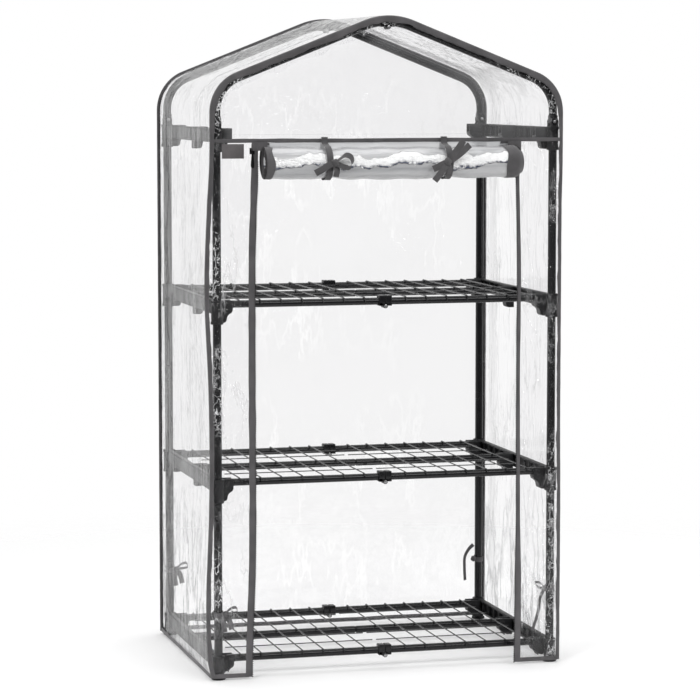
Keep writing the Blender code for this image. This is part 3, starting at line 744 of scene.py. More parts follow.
def add_hinge_block(bm, sign, y, tube_z, tube_radius, above, knuckle):
    """The moulded block on a tube's centre end, and its knuckle, from y to y, round the pin below."""
    pin_z = tube_z - tube_radius - 0.002
    front, back = y - BLOCK_WIDTH / 2, y + BLOCK_WIDTH / 2
    far = sign * BLOCK_LENGTH
    top = tube_z + tube_radius + above
    add_block(bm, (sign * 0.0003, front, pin_z + 0.0048), (far, back, top), 0.0016, 1)
    add_block(bm, (sign * 0.0052, front, pin_z + 0.0004), (far, back, pin_z + 0.0070), 0.0008, 1)
    if knuckle:
        start, end = knuckle
        long = end - start
        bore, radius = 0.0021, 0.0045
        profile = [(bore, 0.0), (radius - 0.0004, 0.0), (radius, 0.0004), (radius, long - 0.0004)]
        profile += [(radius - 0.0004, long), (bore, long)]
        add_turned(bm, (0, start, pin_z), (0, 1, 0), profile, 24, 1, bored=True)
        add_block(bm, (sign * 0.0024, start, pin_z + 0.0004), (far, end, pin_z + 0.0060), 0.0004, 1)


def make_shelf_half(level, side):
    """Three tube rails with welded wires: cross wires bent down at both ends, and long ones between."""
    name = f"shelf_{level}_{side}"
    sign = SIDES[side]
    z = RAIL_Z[level]
    pivot = sign * SHELF_PIVOT_X
    bm = bmesh.new()
    for place, y in RAIL_Y.items():
        end = 0.0018 if place == "middle" else BLOCK_LENGTH - 0.004
        add_tube(bm, [(sign * x, y, z) for x in np.linspace(SHELF_PIVOT_X - 0.003, end, 10)], RAIL_RADIUS, 20)
        eye = [(0.0058, -0.0070), (0.0068, -0.0062), (0.0068, 0.0062), (0.0058, 0.0070)]
        add_turned(bm, (pivot, y, z), (0, 1, 0), eye, 20, 1)
        low = (sign * (SHELF_PIVOT_X - 0.012), y - 0.0068, z - 0.0068)
        add_block(bm, low, (sign * (SHELF_PIVOT_X - 0.001), y + 0.0068, z + 0.0068), 0.0022, 1)
        add_turned(bm, (pivot, y, z), (0, 1, 0), [(0.0028, -0.0108), (0.0028, 0.0108)], 16, 1)
        if place != "middle":
            own = sorted((y + sign * 0.0002, y + sign * BLOCK_WIDTH / 2))
            add_hinge_block(bm, sign, y, z, RAIL_RADIUS, 0.0045, own)
    top = z + RAIL_RADIUS + WIRE_RADIUS * 0.8
    over = RAIL_RADIUS + WIRE_RADIUS
    front, back = RAIL_Y["front"] - over, RAIL_Y["back"] + over
    bend = 0.0045
    corner = [(bend * math.cos(angle), bend * math.sin(angle)) for angle in np.linspace(0, math.pi / 2, 5)]
    path = [(front, z - 0.001)] + [(front + bend - a, top - bend + b) for a, b in corner]
    path += [(RAIL_Y["middle"], top)]
    path += [(back - bend + a, top - bend + b) for a, b in corner[::-1]] + [(back, z - 0.001)]
    for k in range(1, WIRES_PER_HALF + 1):
        x = sign * WIRE_PITCH * k
        add_tube(bm, [(x, py, pz) for py, pz in path], WIRE_RADIUS, 8, up=(1, 0, 0))
        for y in RAIL_Y.values():
            weld = (x - 0.0011, y - 0.0016, z + RAIL_RADIUS - 0.0008)
            add_block(bm, weld, (x + 0.0011, y + 0.0016, top), 0.0004)
    under = top - WIRE_RADIUS - LONG_WIRE_RADIUS * 0.6
    for first, second in (("front", "middle"), ("middle", "back")):
        for part in (1 / 3, 2 / 3):
            y = RAIL_Y[first] + (RAIL_Y[second] - RAIL_Y[first]) * part
            add_tube(bm, [(sign * x, y, under) for x in np.linspace(0.297, 0.004, 8)], LONG_WIRE_RADIUS, 8)
    body = f"shelf_{level}_{side}_half"
    finish(piece_of(name + "_wires", bm, TUBE, MOULDED, sharp=35), body, name, slot="black_tube")


def make_frame():
    for side in SIDES:
        for end in ENDS:
            make_leg(end, side)
            make_foot(end, side)
            make_arch(end, side)
            make_rivet(f"eave_pin_{end}_{side}", f"{side}_frame", 0.0006)
        for level in RAIL_Z:
            make_side_beam(level, side)
        for level in LEVELS:
            make_shelf_half(level, side)
    for end in ENDS:
        make_rivet(f"apex_pin_{end}", "roof_left")
        for level in LEVELS:
            make_rivet(f"shelf_pin_{level}_{end}", f"shelf_{level}_left_half")


# Cover


def side_bulge(side, z):
    """How far the front edge of the cover stands out from its leg at each height."""
    if side == "right":
        return -0.0015 * eased(z - 0.30, 0.2) * eased(0.98 - z, 0.1)
    upper = 0.0085 * np.exp(-(((z - 0.74) / 0.15) ** 2))
    lower = 0.0080 * np.exp(-(((z - 0.13) / 0.15) ** 2))
    return (upper + lower + 0.0025) * eased(1.01 - z, 0.12) * eased(z + 0.01, 0.05)


def outward_normals(line):
    """Unit normals to the right of a line of points in a plane, as two columns."""
    along = np.gradient(line, axis=0)
    along /= np.linalg.norm(along, axis=1)[:, None]
    return along[:, 1:], -along[:, :1]


def outline(low_z, step):
    """The cover's outline on the right, up from low_z: x, z, normal x and z, and length, as columns."""
    path = half_arch(SIDE_FILM, ROOF_FILM + 0.0005, low_z, step)
    return (path[:, :1], path[:, 1:], *outward_normals(path), travelled(path)[:, None])


def bend_at_eave(piece, side, *nodes, slot):
    """The piece keeps its place, baked into its mesh, and stands for these CAD nodes."""
    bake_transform(piece)
    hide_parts(*nodes)


def gather_with_fold(piece, *nodes, slot):
    """The piece spans both side frames, and rides on the left one."""
    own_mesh(piece)
    finish(piece, "left_frame", *nodes, slot=slot)


def draw_back(piece, side, *nodes, slot, body=None):
    """The piece beside the door rides on its side's frame, or on the body given."""
    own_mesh(piece)
    finish(piece, body or f"{side}_frame", *nodes, slot=slot)


def make_side_and_roof(side):
    """One length of film from the hem up the side, over the shoulder and up to the ridge."""
    sign = SIDES[side]
    x, z, out_x, out_z, up = outline(HEM_Z, SHEET_STEP)
    depth = row(FRONT_Y + RIM_INSET, BACK_Y - RIM_INSET, 82)
    seed = 11 + sign
    on_roof = eased(z - SHOULDER_Z, 0.06)
    to_ends = np.minimum(depth - depth.min(), depth.max() - depth)
    to_rims = np.minimum(np.minimum(up, up[-1] - up), to_ends)
    to_legs = np.minimum(abs(depth - LEG_Y["front"]), abs(depth - LEG_Y["back"]))
    soft = 0.0009 * drape(depth, up, seed, 0.11) + 0.0013 * crumple(depth, up, seed + 3, 0.13)
    near_leg = np.exp(-((to_legs / 0.020) ** 2))
    small = near_leg * 0.0009 * crumple(depth, up, seed + 5, 0.022, 10)
    height = (soft * (1 - 0.75 * near_leg) + small) * eased(to_rims, 0.022)
    height = height + on_roof * (0.0012 - 0.0042 * eased(to_legs - 0.02, 0.12) * eased(up[-1] - up, 0.10))
    height = np.where(to_legs < 0.016, np.maximum(height, -0.0005), height)
    height = height + side_bulge(side, z) * eased(0.26 - (depth - FRONT_Y), 0.26)
    points = grid(sign * (x + out_x * height), depth, z + out_z * height)
    piece = sheet_piece(f"cover_{side}_sheet", points, FILM, (depth, up))
    bend_at_eave(piece, side, f"cover_side_{side}", f"cover_roof_{side}", slot="clear_film")


def roof_line(across):
    """Height of the cover's outline at these distances from the middle."""
    path = half_arch(SIDE_FILM - 0.0005, ROOF_FILM, SHOULDER_Z, 0.002)
    return np.interp(across, path[::-1, 0], path[::-1, 1])


def end_wrinkles(across, up, seed):
    return 0.0018 * drape(across, up, seed, 0.16) + 0.0022 * crumple(across, up, seed + 2, 0.17)


def make_gable_half(end, side):
    """The film end of one roof half, which rides on that roof half."""
    sign, outward = SIDES[side], ENDS[end]
    if end == "front":
        y, seed, film, node_name = FRONT_Y + 0.0006, 21, GABLE_FILM, "cover_front_gable"
    else:
        y, seed, film, node_name = BACK_Y - 0.0006, 31, BACK_FILM, "cover_back"
    low = SEAM_HIGH - 0.004
    across = row(0, OUT_X - RIM_INSET, 60)
    top = roof_line(across)
    up = low + (top - low) * column(0, 1, 40)
    rim = np.minimum(np.minimum(top - up, up - low), OUT_X - across)
    height = end_wrinkles(sign * across, up, seed) * eased(rim, 0.03)
    points = grid(sign * across, y + outward * height, up)
    piece = sheet_piece(f"cover_{end}_gable_{side}", points, film, (across, up))
    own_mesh(piece)
    finish(piece, f"roof_{side}", node_name, slot="clear_film")
    area = float(np.trapz((roof_line(across) - low)[0], across[0]))


def make_back():
    """The film back below the seam's height, one width from leg to leg."""
    across = row(-OUT_X + RIM_INSET, OUT_X - RIM_INSET, 116)
    up = column(HEM_Z, SEAM_HIGH - 0.003, 168)
    rim = np.minimum(OUT_X - abs(across), np.minimum(up - HEM_Z, SEAM_HIGH - up))
    height = end_wrinkles(across, up, 31) * eased(rim, 0.03)
    points = grid(across, BACK_Y - 0.0006 + height * 0.8, up)
    piece = sheet_piece("cover_back_sheet", points, BACK_FILM, (across, up))
    gather_with_fold(piece, "cover_back", slot="clear_film")


def tape_drift(side, z):
    """How far the edge of the door opening has moved outwards at each height."""
    if side == "left":
        lower = 0.0015 * eased(0.42 - z, 0.3) + 0.0060 * eased(0.24 - z, 0.24)
        return -0.0050 + 0.0060 * eased(1.0 - z, 0.22) + lower
    return -0.0135 + 0.0060 * eased(1.0 - z, 0.30) + 0.0010 * np.sin(z * 9)


def make_strip(side):
    """The narrow film panel between a front leg and its zip, badly creased where it was folded."""
    sign = SIDES[side]
    across = row(STRIP_X, OUT_X - RIM_INSET, 26)
    up = column(HEM_Z, SEAM_LOW + 0.003, 330)
    edge = np.minimum(OUT_X - across, np.minimum(up - HEM_Z, SEAM_LOW + 0.003 - up) + 0.004)
    seed = 41 + sign
    height = 0.0016 * drape(across, up, seed, 0.06) + 0.0018 * crumple(across, up, seed + 2, 0.035, 12)
    height = height * eased(edge, 0.016) + 0.004 * eased(0.12 - up, 0.12) * eased(edge, 0.03)
    y = FRONT_Y + 0.0006 - np.maximum(height, -0.0012)
    wander = tape_drift(side, up) * eased(OUT_X - across, 0.07)
    wander = wander + side_bulge(side, up) * eased(across - STRIP_X, 0.06)
    points = grid(sign * (across + wander), y, up)
    piece = sheet_piece(f"cover_strip_{side}_sheet", points, STRIP_FILM, (across, up))
    draw_back(piece, side, f"cover_strip_{side}", slot="clear_film")


def hem_sheet(name, line):
    """Tape folded under the foot of the cover, along a line of (x, y) points on its outer face."""
    line = resample(line, 0.008)
    out_x, out_y = outward_normals(line)
    along = travelled(line)[:, None]
    tall = 0.0085
    part = row(0, 1, 6)
    up = HEM_Z - 0.0008 + tall * part + 0.0012 * wave(along, 95, 0.16)
    proud = 0.0009 + 0.0008 * np.sin(math.pi * part)
    points = grid(line[:, :1] + out_x * proud, line[:, 1:] + out_y * proud, up)
    return sheet_piece(name, points, FABRIC, (part * tall, along))


def make_hems():
    """The dark tape round the foot of the cover: both sides with the front strips, and the back."""
    for side, sign in SIDES.items():
        bulge = float(side_bulge(side, np.array(HEM_Z + 0.004)))
        x = OUT_X + bulge
        inner = STRIP_X + float(tape_drift(side, np.array(HEM_Z))) - 0.006
        corner = [(x - 0.010, FRONT_Y), (x - 0.004, FRONT_Y + 0.0012), (x - 0.0005, FRONT_Y + 0.006)]
        line = [(inner, FRONT_Y - 0.001), *corner, (OUT_X + bulge * 0.3, 0.0), (OUT_X, BACK_Y - 0.001)]
        line = np.array([(sign * a, b) for a, b in line])[::sign]
        piece = hem_sheet(f"cover_hem_{side}", line)
        draw_back(piece, side, slot="grey_fabric")
    piece = hem_sheet("cover_hem_back", [(OUT_X - 0.001, BACK_Y), (0.0, BACK_Y), (-OUT_X + 0.001, BACK_Y)])
    gather_with_fold(piece, slot="grey_fabric")


def make_edge_film(side):
    """The double, badly crinkled film beside the front binding, over the leg and the arch."""
    sign = SIDES[side]
    x, z, out_x, out_z, up = outline(HEM_Z + 0.006, 0.0045)
    inward = row(0.001, 0.0255, 12)
    reach = inward * (1 + 0.16 * wave(up, 45 + sign, 0.05))
    crushed = 0.0011 * crumple(up, inward, 46 + sign, 0.013, 12)
    crushed = crushed + 0.0006 * crumple(up, inward, 48 + sign, 0.03)
    height = 0.0007 + np.maximum(crushed, -0.001) * eased(inward.max() - inward, 0.005)
    points = grid(sign * (x + side_bulge(side, z) - out_x * reach), FRONT_Y - height, z - out_z * reach)
    piece = sheet_piece(f"cover_edge_{side}_sheet", points, EDGE_FILM, (inward, up))
    bend_at_eave(piece, side, f"cover_strip_{side}", slot="clear_film")


def make_binding(end, side):
    """Tape folded over the cover's edge, from the hem over the shoulder to the ridge."""
    sign = SIDES[side]
    front = end == "front"
    x, z, out_x, out_z, up = outline(HEM_Z + 0.0005, SHEET_STEP)
    visible, returned, widening = (0.0068, 0.0050, 0.72) if front else (0.0032, 0.0030, 0.0)
    section = [(-visible, 0.0004), (-visible, 0.0011), (-visible * 0.75, 0.0018), (-visible * 0.4, 0.0021)]
    section += [(-0.0010, 0.0019), (-0.0002, 0.0014), (0.0006, 0.0004), (0.0010, -0.0010), (0.0012, -0.0024)]
    section += [(0.0011, -returned * 0.8), (0.0008, -returned), (0.0004, -returned)]
    section = np.asarray(section)
    if not front:
        section[4:11, 0] += 0.0030 * np.sin(np.linspace(0.3, math.pi - 0.3, 7))
    breadth = travelled(section)[None, :]
    ripple = 1 + 0.16 * wave(up, 51 + sign, 0.09) + 0.10 * wave(up, 55 + sign, 0.025)
    widened = 1 + widening * eased(z - 1.02, 0.09)
    out = section[:, 0] * np.where(section[:, 0] < -visible * 0.5, ripple * widened, 1)
    bulge = side_bulge(side, z) * front
    proud = section[:, 1] + 0.0005 * drape(up, breadth, 57 + sign, 0.05) + 0.0008 * front
    y = (FRONT_Y if front else BACK_Y) + ENDS[end] * proud
    points = grid(sign * (x + out_x * out + bulge), y, z + out_z * out)
    piece = sheet_piece(f"binding_{end}_{side}_tape", points, FABRIC, (breadth, up))
    bend_at_eave(piece, side, f"binding_{end}", slot="grey_fabric")


def make_seam_tape():
    """The tape across the front, over the seam that the door hangs from."""
    across = column(-OUT_X + 0.001, OUT_X - 0.001, 180)
    part = row(-1, 1, 7)
    middle = (SEAM_LOW + SEAM_HIGH) / 2 + 0.0011 * wave(across, 61, 0.21)
    half = 0.0037 + 0.0006 * wave(across, 62, 0.09)
    y = FRONT_Y - 0.0012 - 0.0007 * (1 - part**2) + 0.0004 * drape(across, part, 63, 0.05)
    points = grid(across, y, middle + part * half)
    piece = sheet_piece("seam_tape_front", points, FABRIC, (part * 0.0045, across))
    gather_with_fold(piece, "seam_tape", slot="grey_fabric")


# Rolled door

ROLL_TURNS = 6.4
ROLL_CORE = 0.013
DOOR_BAND = {"left": 0.014, "right": 0.035}
ROLL_INSET = {"left": 0.010, "right": 0.003}


def roll_radius(x, turned, seed=71):
    """Radius of the rolled door at x after this much turning (radians) from the outside in."""
    share = turned / (2 * math.pi * ROLL_TURNS)
    size = ROLL_RADIUS - 0.0012 - (ROLL_RADIUS - ROLL_CORE) * share
    pinch = sum(np.exp(-(((x - place) / 0.022) ** 2)) for place in TIE_X.values())
    oval = 1 + 0.05 * np.cos(2 * (turned - 0.6))
    lumps = 0.0016 * drape(x, turned * 0.02, seed, 0.10)
    lumps = lumps + 0.0011 * crumple(x, turned * 0.03, seed + 1, 0.035, 10)
    return size * oval * (1 - 0.10 * pinch) + lumps * (1 - 0.5 * share)


def roll_points(xs, proud=0.0, per_turn=44):
    """A sheet that comes down from the seam and winds round the roll, as points (along, across, 3)."""
    turned = column(0, 2 * math.pi * ROLL_TURNS, int(per_turn * ROLL_TURNS))
    x = np.asarray(xs)[None, :]
    radius = roll_radius(x, turned) + proud
    angle = math.radians(62) - turned
    sag = -0.0015 * np.cos(x * 9)
    spiral = grid(x, ROLL.y + radius * np.cos(angle), ROLL.z + radius * np.sin(angle) + sag)
    top = grid(x, FRONT_Y - 0.0006 - proud, SEAM_LOW + 0.002)
    part = np.linspace(0, 1, 5)[:-1, None, None]
    return np.concatenate([top + (spiral[:1] - top) * part, spiral])


def make_roll():
    ends = {"left": ROLL_LOW.x + ROLL_INSET["left"], "right": ROLL_HIGH.x - ROLL_INSET["right"]}
    xs = np.linspace(ends["left"] + 0.003, ends["right"] - 0.016, 190)
    points = roll_points(xs)
    along = travelled(points[:, len(xs) // 2])[:, None]
    piece = sheet_piece("door_roll_sheet", points, ROLLED, (xs[None, :], along))
    gather_with_fold(piece, "door_roll", slot="clear_film")
    for side, end in ends.items():
        sign = SIDES[side]
        xs = np.linspace(*sorted((end, end - sign * DOOR_BAND[side])), 9)
        points = roll_points(xs, 0.0010)
        along = travelled(points[:, 4])[:, None]
        scallop = 0.0022 * np.sin(along / 0.009 + 1.3 * np.sin(along / 0.031))
        share = abs(xs - end)[None, :] / DOOR_BAND[side]
        points[..., 0] -= sign * scallop * share
        if side == "right":
            shrink = (0.30 * (1 - eased(share, 0.5)) ** 2)[..., None]
            points[..., 1:] += (np.array([ROLL.y, ROLL.z - 0.001]) - points[..., 1:]) * shrink
        piece = sheet_piece(f"door_edge_{side}", points, FABRIC, (xs[None, :], along))
        gather_with_fold(piece, "door_roll", slot="grey_fabric")


# Ribbons


def add_ribbon(bm, path, width, facing=None, across=None, cup=0.0):
    """A flat ribbon along a path: its face towards facing, or its width along across. Gives its length."""
    uv = bm.loops.layers.uv.get("flat") or bm.loops.layers.uv.new("flat")
    line = smooth_line(path, 0.0025)
    along = np.gradient(line, axis=0)
    along /= np.linalg.norm(along, axis=1)[:, None]
    if across is None:
        wide = np.cross(along, np.broadcast_to(np.asarray(facing, float), line.shape))
    else:
        wide = np.broadcast_to(np.asarray(across, float), line.shape)
        wide = wide - along * (wide * along).sum(1)[:, None]
    wide = wide / np.linalg.norm(wide, axis=1)[:, None]
    normal = np.cross(wide, along)
    measured = travelled(line)
    rows = []
    for k, point in enumerate(line):
        spots = []
        for part in np.linspace(-1, 1, 5):
            spot = point + wide[k] * part * width / 2 + normal[k] * cup * (1 - part * part)
            spots.append((bm.verts.new(spot), (part * width / 2, measured[k])))
        rows.append(spots)
    for first, second in zip(rows, rows[1:]):
        for i in range(4):
            corners = (first[i], first[i + 1], second[i + 1], second[i])
            face = bm.faces.new([vertex for vertex, _ in corners])
            for loop, (_, flat) in zip(face.loops, corners):
                loop[uv].uv = flat
    return float(measured[-1])


def make_knot(name, at, radius, tall, lean):
    """A pulled knot: a soft barrel with a second turn of ribbon crossing it."""
    bm = bmesh.new()
    barrel = [(0.30, -1.0), (0.72, -0.86), (0.95, -0.45), (0.90, 0.0)]
    barrel += [(0.97, 0.42), (0.70, 0.86), (0.28, 1.0)]
    barrel = [(r * radius, h * tall / 2) for r, h in barrel]
    add_turned(bm, at, (math.sin(lean), 0, math.cos(lean)), barrel, 18)
    wrap = [(0.7, -1), (0.98, -0.6), (1.02, 0), (0.98, 0.6), (0.7, 1)]
    wrap = [(r * 1.12 * radius, h * tall * 0.26) for r, h in wrap]
    add_turned(bm, at, (math.sin(lean + 1.0), 0.15, math.cos(lean + 1.0)), wrap, 18)
    return piece_of(name, bm, RIBBON, sharp=60)


def make_door_tie(side):
    """A ribbon from the seam round the rolled door, knotted in front of it with its ends hanging."""
    left = side == "left"
    x = TIE_X[side] + (-0.009 if left else 0.0)
    width = 0.0125
    r = ROLL_RADIUS * 0.90 + 0.0022
    loop = [(x, FRONT_Y - 0.0030, SEAM_HIGH + 0.001), (x, FRONT_Y - 0.0075, SEAM_LOW - 0.0005)]
    for angle in np.linspace(math.radians(112), math.radians(400), 16):
        loop.append((x, ROLL.y + r * math.cos(angle), ROLL.z + r * math.sin(angle)))
    loop.append((x, FRONT_Y + 0.0015, SEAM_LOW - 0.001))
    bm = bmesh.new()
    total = add_ribbon(bm, loop, width, across=(1, 0, 0), cup=0.0004)
    knot = Vector((x + (0.008 if left else -0.007), ROLL.y - r - 0.0045, ROLL.z + 0.001))
    total += add_strands(bm, knot, DOOR_STRANDS[side], width)
    piece = smooth_piece(f"door_tie_{side}_ribbon", bm, RIBBON)
    gather_with_fold(piece, f"door_tie_{side}", slot="grey_fabric")
    bow = make_knot(f"door_tie_{side}_knot", knot, 0.0075, 0.0135, -0.5 if left else 0.4)
    gather_with_fold(bow, f"door_tie_{side}", slot="grey_fabric")


def make_leg_tie(end, side, z, strands):
    """A ribbon sewn inside the cover and knotted round a leg."""
    sign = SIDES[side]
    x, y = sign * LEG_X, LEG_Y[end]
    width = 0.0105
    r = 0.0094
    ring = []
    for angle in np.linspace(0.2, 2 * math.pi + 0.1, 18):
        ring.append((x + r * math.cos(angle), y + r * math.sin(angle), z + 0.002 * math.sin(angle)))
    bm = bmesh.new()
    total = add_ribbon(bm, ring, width, across=(0, 0, 1), cup=0.0004)
    knot = Vector((x - sign * 0.0125, y - 0.004, z))
    total += add_strands(bm, knot, strands, width, -sign)
    piece = smooth_piece(f"leg_tie_{end}_{side}_ribbon", bm, RIBBON)
    finish(piece, f"{side}_frame", slot="grey_fabric")
    bow = make_knot(f"leg_tie_{end}_{side}_knot", knot, 0.0055, 0.0105, 0.4 * sign)
    finish(bow, f"{side}_frame", slot="grey_fabric")


# Strands of the bows: each is a list of offsets from its knot in millimetres, and how the ribbon lies
TWISTED = {"across": (0.55, 0.50, 0.67)}
CUPPED = {"facing": (0.1, -1, 0.1), "cup": 0.0010}
TILTED = {"facing": (0.1, -1, 0.15), "cup": 0.0010}
TURNED = {"facing": (0.3, -1, 0)}
PLAIN = {"facing": (0.1, -1, 0)}
TO_FRONT = {"facing": (0.1, -1, 0.1)}
LOOPED = {"across": (0.2, 0.9, 0.3)}
SIDEWAYS = {"facing": (0.8, -1, 0.1)}
WIDE_LOOP = [(1, 1, 1), (9, -4, 8), (18, -8, 14), (28, -8, 11), (31, -7, 1), (26, -6, -8), (17, -5, -8)]
WIDE_LOOP += [(8, -3, -4), (1, 0, -1)]
DOOR_STRANDS = {
    "left": [
        (WIDE_LOOP, TWISTED),
        ([(-2, -1, 0), (-13, -4, -4), (-26, -5, -12), (-39, -3, -19)], CUPPED),
        ([(0, 0, -3), (3, -2, -14), (1, -1, -26)], TURNED),
    ],
    "right": [
        ([(2, 0, 2), (11, -4, 15), (21, -5, 28), (30, -3, 40)], TILTED),
        ([(2, 0, 1), (16, -3, 10), (29, -6, 21), (42, -4, 32)], TILTED),
        ([(-1, 0, -1), (-10, -3, -4), (-20, -4, -9), (-29, -2, -13)], TILTED),
        ([(-1, 0, -2), (-8, -5, -11), (-17, -5, -23), (-26, -2, -35)], TILTED),
        ([(1, 0, -3), (3, -2, -12), (2, 0, -22)], PLAIN),
    ],
}
BOW = [
    ([(1, 0, 2), (10, -2, 10), (20, -3, 12), (22, -2, 3), (3, 0, 0)], LOOPED),
    ([(1, 0, -2), (8, -2, -14), (12, -1, -30)], TO_FRONT),
    ([(-2, 0, -1), (-4, -4, -16), (-2, -5, -34)], TO_FRONT),
]
TAILS = [
    ([(1, 0, 2), (8, -2, 11), (19, -3, 13), (14, -2, 4), (2, 0, 0)], LOOPED),
    ([(1, 0, -2), (9, -2, -18), (13, -2, -44), (24, -2, -80)], SIDEWAYS),
]
STRAP = [([(0, 0, 30), (10, 1, 20), (18, 2, 4), (19, 1, -18), (18, 0, -45)], SIDEWAYS)]


def add_strands(bm, knot, strands, width, turn=1):
    """The strands of a bow, mirrored where turn is -1. Gives their length."""
    total = 0
    for offsets, kind in strands:
        path = [knot + Vector((turn * a, b, c)) * 0.001 for a, b, c in offsets]
        total += add_ribbon(bm, path, width, **kind)
    return total


# Zips and label

TOOTH_PITCH = 0.0026
TOOTH = Vector((0.0013, 0.0010, 0.0008))


def make_patch(side, x):
    """The piece of tape sewn over the top of a zip, under the seam."""
    reach = (-0.0065, 0.0235) if side == "left" else (-0.0075, 0.0200)
    across = row(*reach, 14)
    up = column(SEAM_LOW - 0.013, SEAM_LOW + 0.003, 8)
    y = FRONT_Y - 0.0036 - 0.0006 * np.sin(across * 170 + up * 90) - 0.003 * eased(across - 0.004, 0.012)
    piece = sheet_piece(f"zip_patch_{side}", grid(x - SIDES[side] * across, y, up), FABRIC, (across, up))
    draw_back(piece, side, slot="grey_fabric")


def make_zip_tape(side):
    """The fixed half of a zip: woven tape with a row of teeth, and a sewn patch at its top."""
    sign = SIDES[side]
    low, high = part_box(f"zip_tape_{side}")
    up = column(low.z, high.z, 240)
    part = row(-1, 1, 6)
    middle = (low.x + high.x) / 2 + sign * tape_drift(side, up) + 0.0006 * wave(up, 81 + sign, 0.55)
    half = (high.x - low.x) / 2 + 0.0006 + 0.0004 * wave(up, 83 + sign, 0.08)
    if side == "right":
        half = half * (1 - 0.38 * eased(up - 0.16, 0.15) * eased(0.97 - up, 0.03))
    twist = (0.5 if side == "right" else 0.12) * wave(up, 85 + sign, 0.32)
    y = FRONT_Y - 0.0020 - 0.0005 * (1 - part**2) + part * half * np.sin(twist) * 0.4
    points = grid(middle + part * half * np.cos(twist), y, up)
    piece = sheet_piece(f"zip_tape_{side}_web", points, FABRIC, (part * 0.006, up))
    draw_back(piece, side, f"zip_tape_{side}", slot="grey_fabric")
    make_patch(side, float(middle[-1, 0]))
    tall = high.z - low.z
    bm = bmesh.new()
    for k in range(int((tall - 0.030) / TOOTH_PITCH)):
        z = low.z + 0.004 + k * TOOTH_PITCH
        level = min(int((z - low.z) / tall * 239), 239)
        spot = Vector(points[level, 0 if sign > 0 else -1])
        for vertex in bmesh.ops.create_cube(bm, size=2)["verts"]:
            taper = 0.75 if vertex.co.x * sign < 0 else 1.0
            vertex.co = spot + vertex.co * TOOTH * Vector((1, 1, taper))
            vertex.co.y -= 0.0004
    teeth = piece_of(f"zip_teeth_{side}", bm, MOULDED)
    draw_back(teeth, side, slot="moulded_black")


def make_slider(side):
    """The zip's slider: a wedge-ended body with a bridge, and a pull hanging from it."""
    low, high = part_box(f"zip_slider_{side}")
    x = centre(f"zip_slider_{side}").x - (0.0 if side == "left" else 0.0100)
    y, top = low.y, high.z
    bottom = top - 0.0120
    bm = bmesh.new()
    add_block(bm, (x - 0.0048, y + 0.0016, bottom), (x + 0.0048, y + 0.0032, top), 0.0007)
    add_block(bm, (x - 0.0036, y + 0.0010, bottom + 0.001), (x + 0.0036, y + 0.0020, top - 0.001), 0.0005)
    bridge = [(0.0012, 0.0016), (0.0002, 0.0040), (0.0002, 0.0078), (0.0012, 0.0104)]
    add_tube(bm, [(x, y + proud, top - down) for proud, down in bridge], 0.0009, 10, up=(1, 0, 0))
    pull_top, pull_low = top - 0.0066, low.z + 0.0002
    pull = [(0.0016, pull_top), (0.0021, pull_top - 0.003), (0.0018, pull_top - 0.007)]
    pull += [(0.0030, pull_low + 0.008), (0.0032, pull_low + 0.003), (0.0022, pull_low)]
    thick = 0.0007
    add_rings(bm, [[(x + half * c, y - 0.0001 + thick * s, z) for c, s in circle(14)] for half, z in pull])
    piece = piece_of(f"zip_slider_{side}_body", bm, TUBE, sharp=35)
    draw_back(piece, side, f"zip_slider_{side}", slot="steel", body=f"slider_{side}")


def make_label():
    """A blank woven label sewn on at its edge."""
    low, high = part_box("cover_label")
    width, tall = high.x - low.x, high.z - low.z
    across, up = row(0, 1, 24), column(0, 1, 16)
    rim = np.minimum(np.minimum(across, 1 - across) * width, np.minimum(up, 1 - up) * tall)
    across, up = across * width, up * tall
    y = high.y - 0.0006 - 0.0009 * eased(rim, 0.003) - 0.0005 * drape(across, up, 91, 0.03)
    piece = sheet_piece("cover_label_patch", grid(low.x + across, y, low.z + up), LABEL, (across, up))
    draw_back(piece, "left", "cover_label", slot="label")
    bm = bmesh.new()
    inset = 0.0022
    (x0, x1), (z0, z1) = (low.x + inset, high.x - inset), (low.z + inset, high.z - inset)
    corners = [(x0, z0), (x1, z0), (x1, z1), (x0, z1)]
    for (x0, z0), (x1, z1) in zip(corners, corners[1:] + corners[:1]):
        count = int(round(math.hypot(x1 - x0, z1 - z0) / 0.0024))
        for k in range(count):
            along = [(k + share) / count for share in (0.18, 0.50, 0.82)]
            stitch = [(x0 + (x1 - x0) * t, low.y - 0.0002, z0 + (z1 - z0) * t) for t in along]
            add_tube(bm, stitch, 0.00028, 6, up=(0, -1, 0.01))
    stitches = piece_of("cover_label_stitches", bm, THREAD, sharp=60)
    draw_back(stitches, "left", slot="grey_fabric")


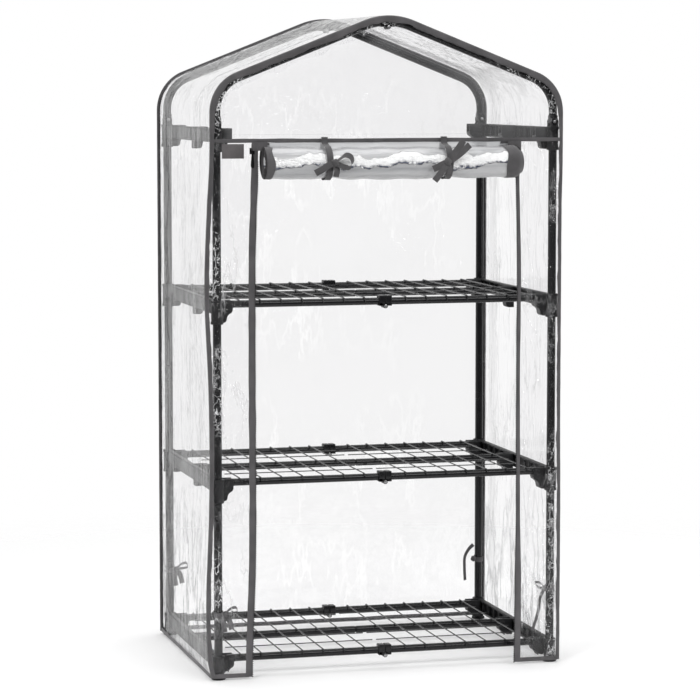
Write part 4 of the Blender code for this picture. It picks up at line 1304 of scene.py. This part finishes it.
def make_cover():
    for side in SIDES:
        make_side_and_roof(side)
        for end in ENDS:
            make_gable_half(end, side)
            make_binding(end, side)
        make_strip(side)
        make_edge_film(side)
        make_zip_tape(side)
        make_slider(side)
    make_back()
    make_hems()
    make_seam_tape()
    make_roll()
    for side in SIDES:
        make_door_tie(side)
    make_leg_tie("front", "left", 0.125, BOW)
    make_leg_tie("front", "right", 0.144, TAILS)
    make_leg_tie("back", "right", 0.128, STRAP)
    make_leg_tie("back", "left", 0.135, BOW)
    make_label()


# Stage, light and camera


def make_floor():
    bm = bmesh.new()
    bmesh.ops.create_grid(bm, x_segments=1, y_segments=1, size=2)
    floor = smooth_piece("floor", bm, make_floor_material())
    floor.location.z = -0.0002


def make_world():
    """White to the camera. All else sees a room that is white behind and beside the object, dim in front."""
    world = bpy.data.worlds.new("studio")
    bpy.context.scene.world = world
    tree = blank_tree(world)
    _, depth, height = parts(tree, node(tree, "TexCoord").outputs["Generated"])
    room = depth.ranged(-0.55, 0.25, 0.16, 0.95).at_least(height.ranged(0.1, 0.9, 0.0, 0.5))
    level = room.at_least(node(tree, "LightPath").outputs["Is Camera Ray"])
    surface(tree, shader(tree, "Background", Color=(1, 1, 1, 1), Strength=level), "OutputWorld")


def make_softbox(name, place, target, width, height, power):
    data = bpy.data.lights.new(name, "AREA")
    data.shape = "RECTANGLE"
    data.size, data.size_y = width, height
    data.energy = power
    light = bpy.data.objects.new(name, data)
    light.location = place
    light.rotation_euler = (Vector(target) - Vector(place)).to_track_quat("-Z", "Y").to_euler()
    light.visible_camera = False
    bpy.context.scene.collection.objects.link(light)


def make_camera():
    data = bpy.data.cameras.new("photo_view")
    data.sensor_width = 36
    data.lens = 145.3
    data.clip_end = 60
    camera = bpy.data.objects.new("photo_view", data)
    camera.location = (-1.4671, -5.3412, 1.1246)
    camera.rotation_euler = (math.radians(90 - 5.428), 0, math.radians(-15.182))
    bpy.context.scene.collection.objects.link(camera)
    bpy.context.scene.camera = camera


MIDDLE = (0, 0, 0.65)

make_frame()
make_cover()
make_floor()
make_world()
make_softbox("key", (-2.6, -3.0, 2.5), MIDDLE, 1.1, 1.1, 50)
make_softbox("front", (0.9, -3.4, 2.9), (0, 0, 0.9), 2.0, 1.2, 46)
make_softbox("fill", (3.0, -2.0, 1.4), MIDDLE, 0.35, 1.8, 22)
make_softbox("overhead", (0, 0.3, 3.4), MIDDLE, 2.0, 2.0, 30)
make_camera()
bpy.context.scene.view_settings.view_transform = "Standard"
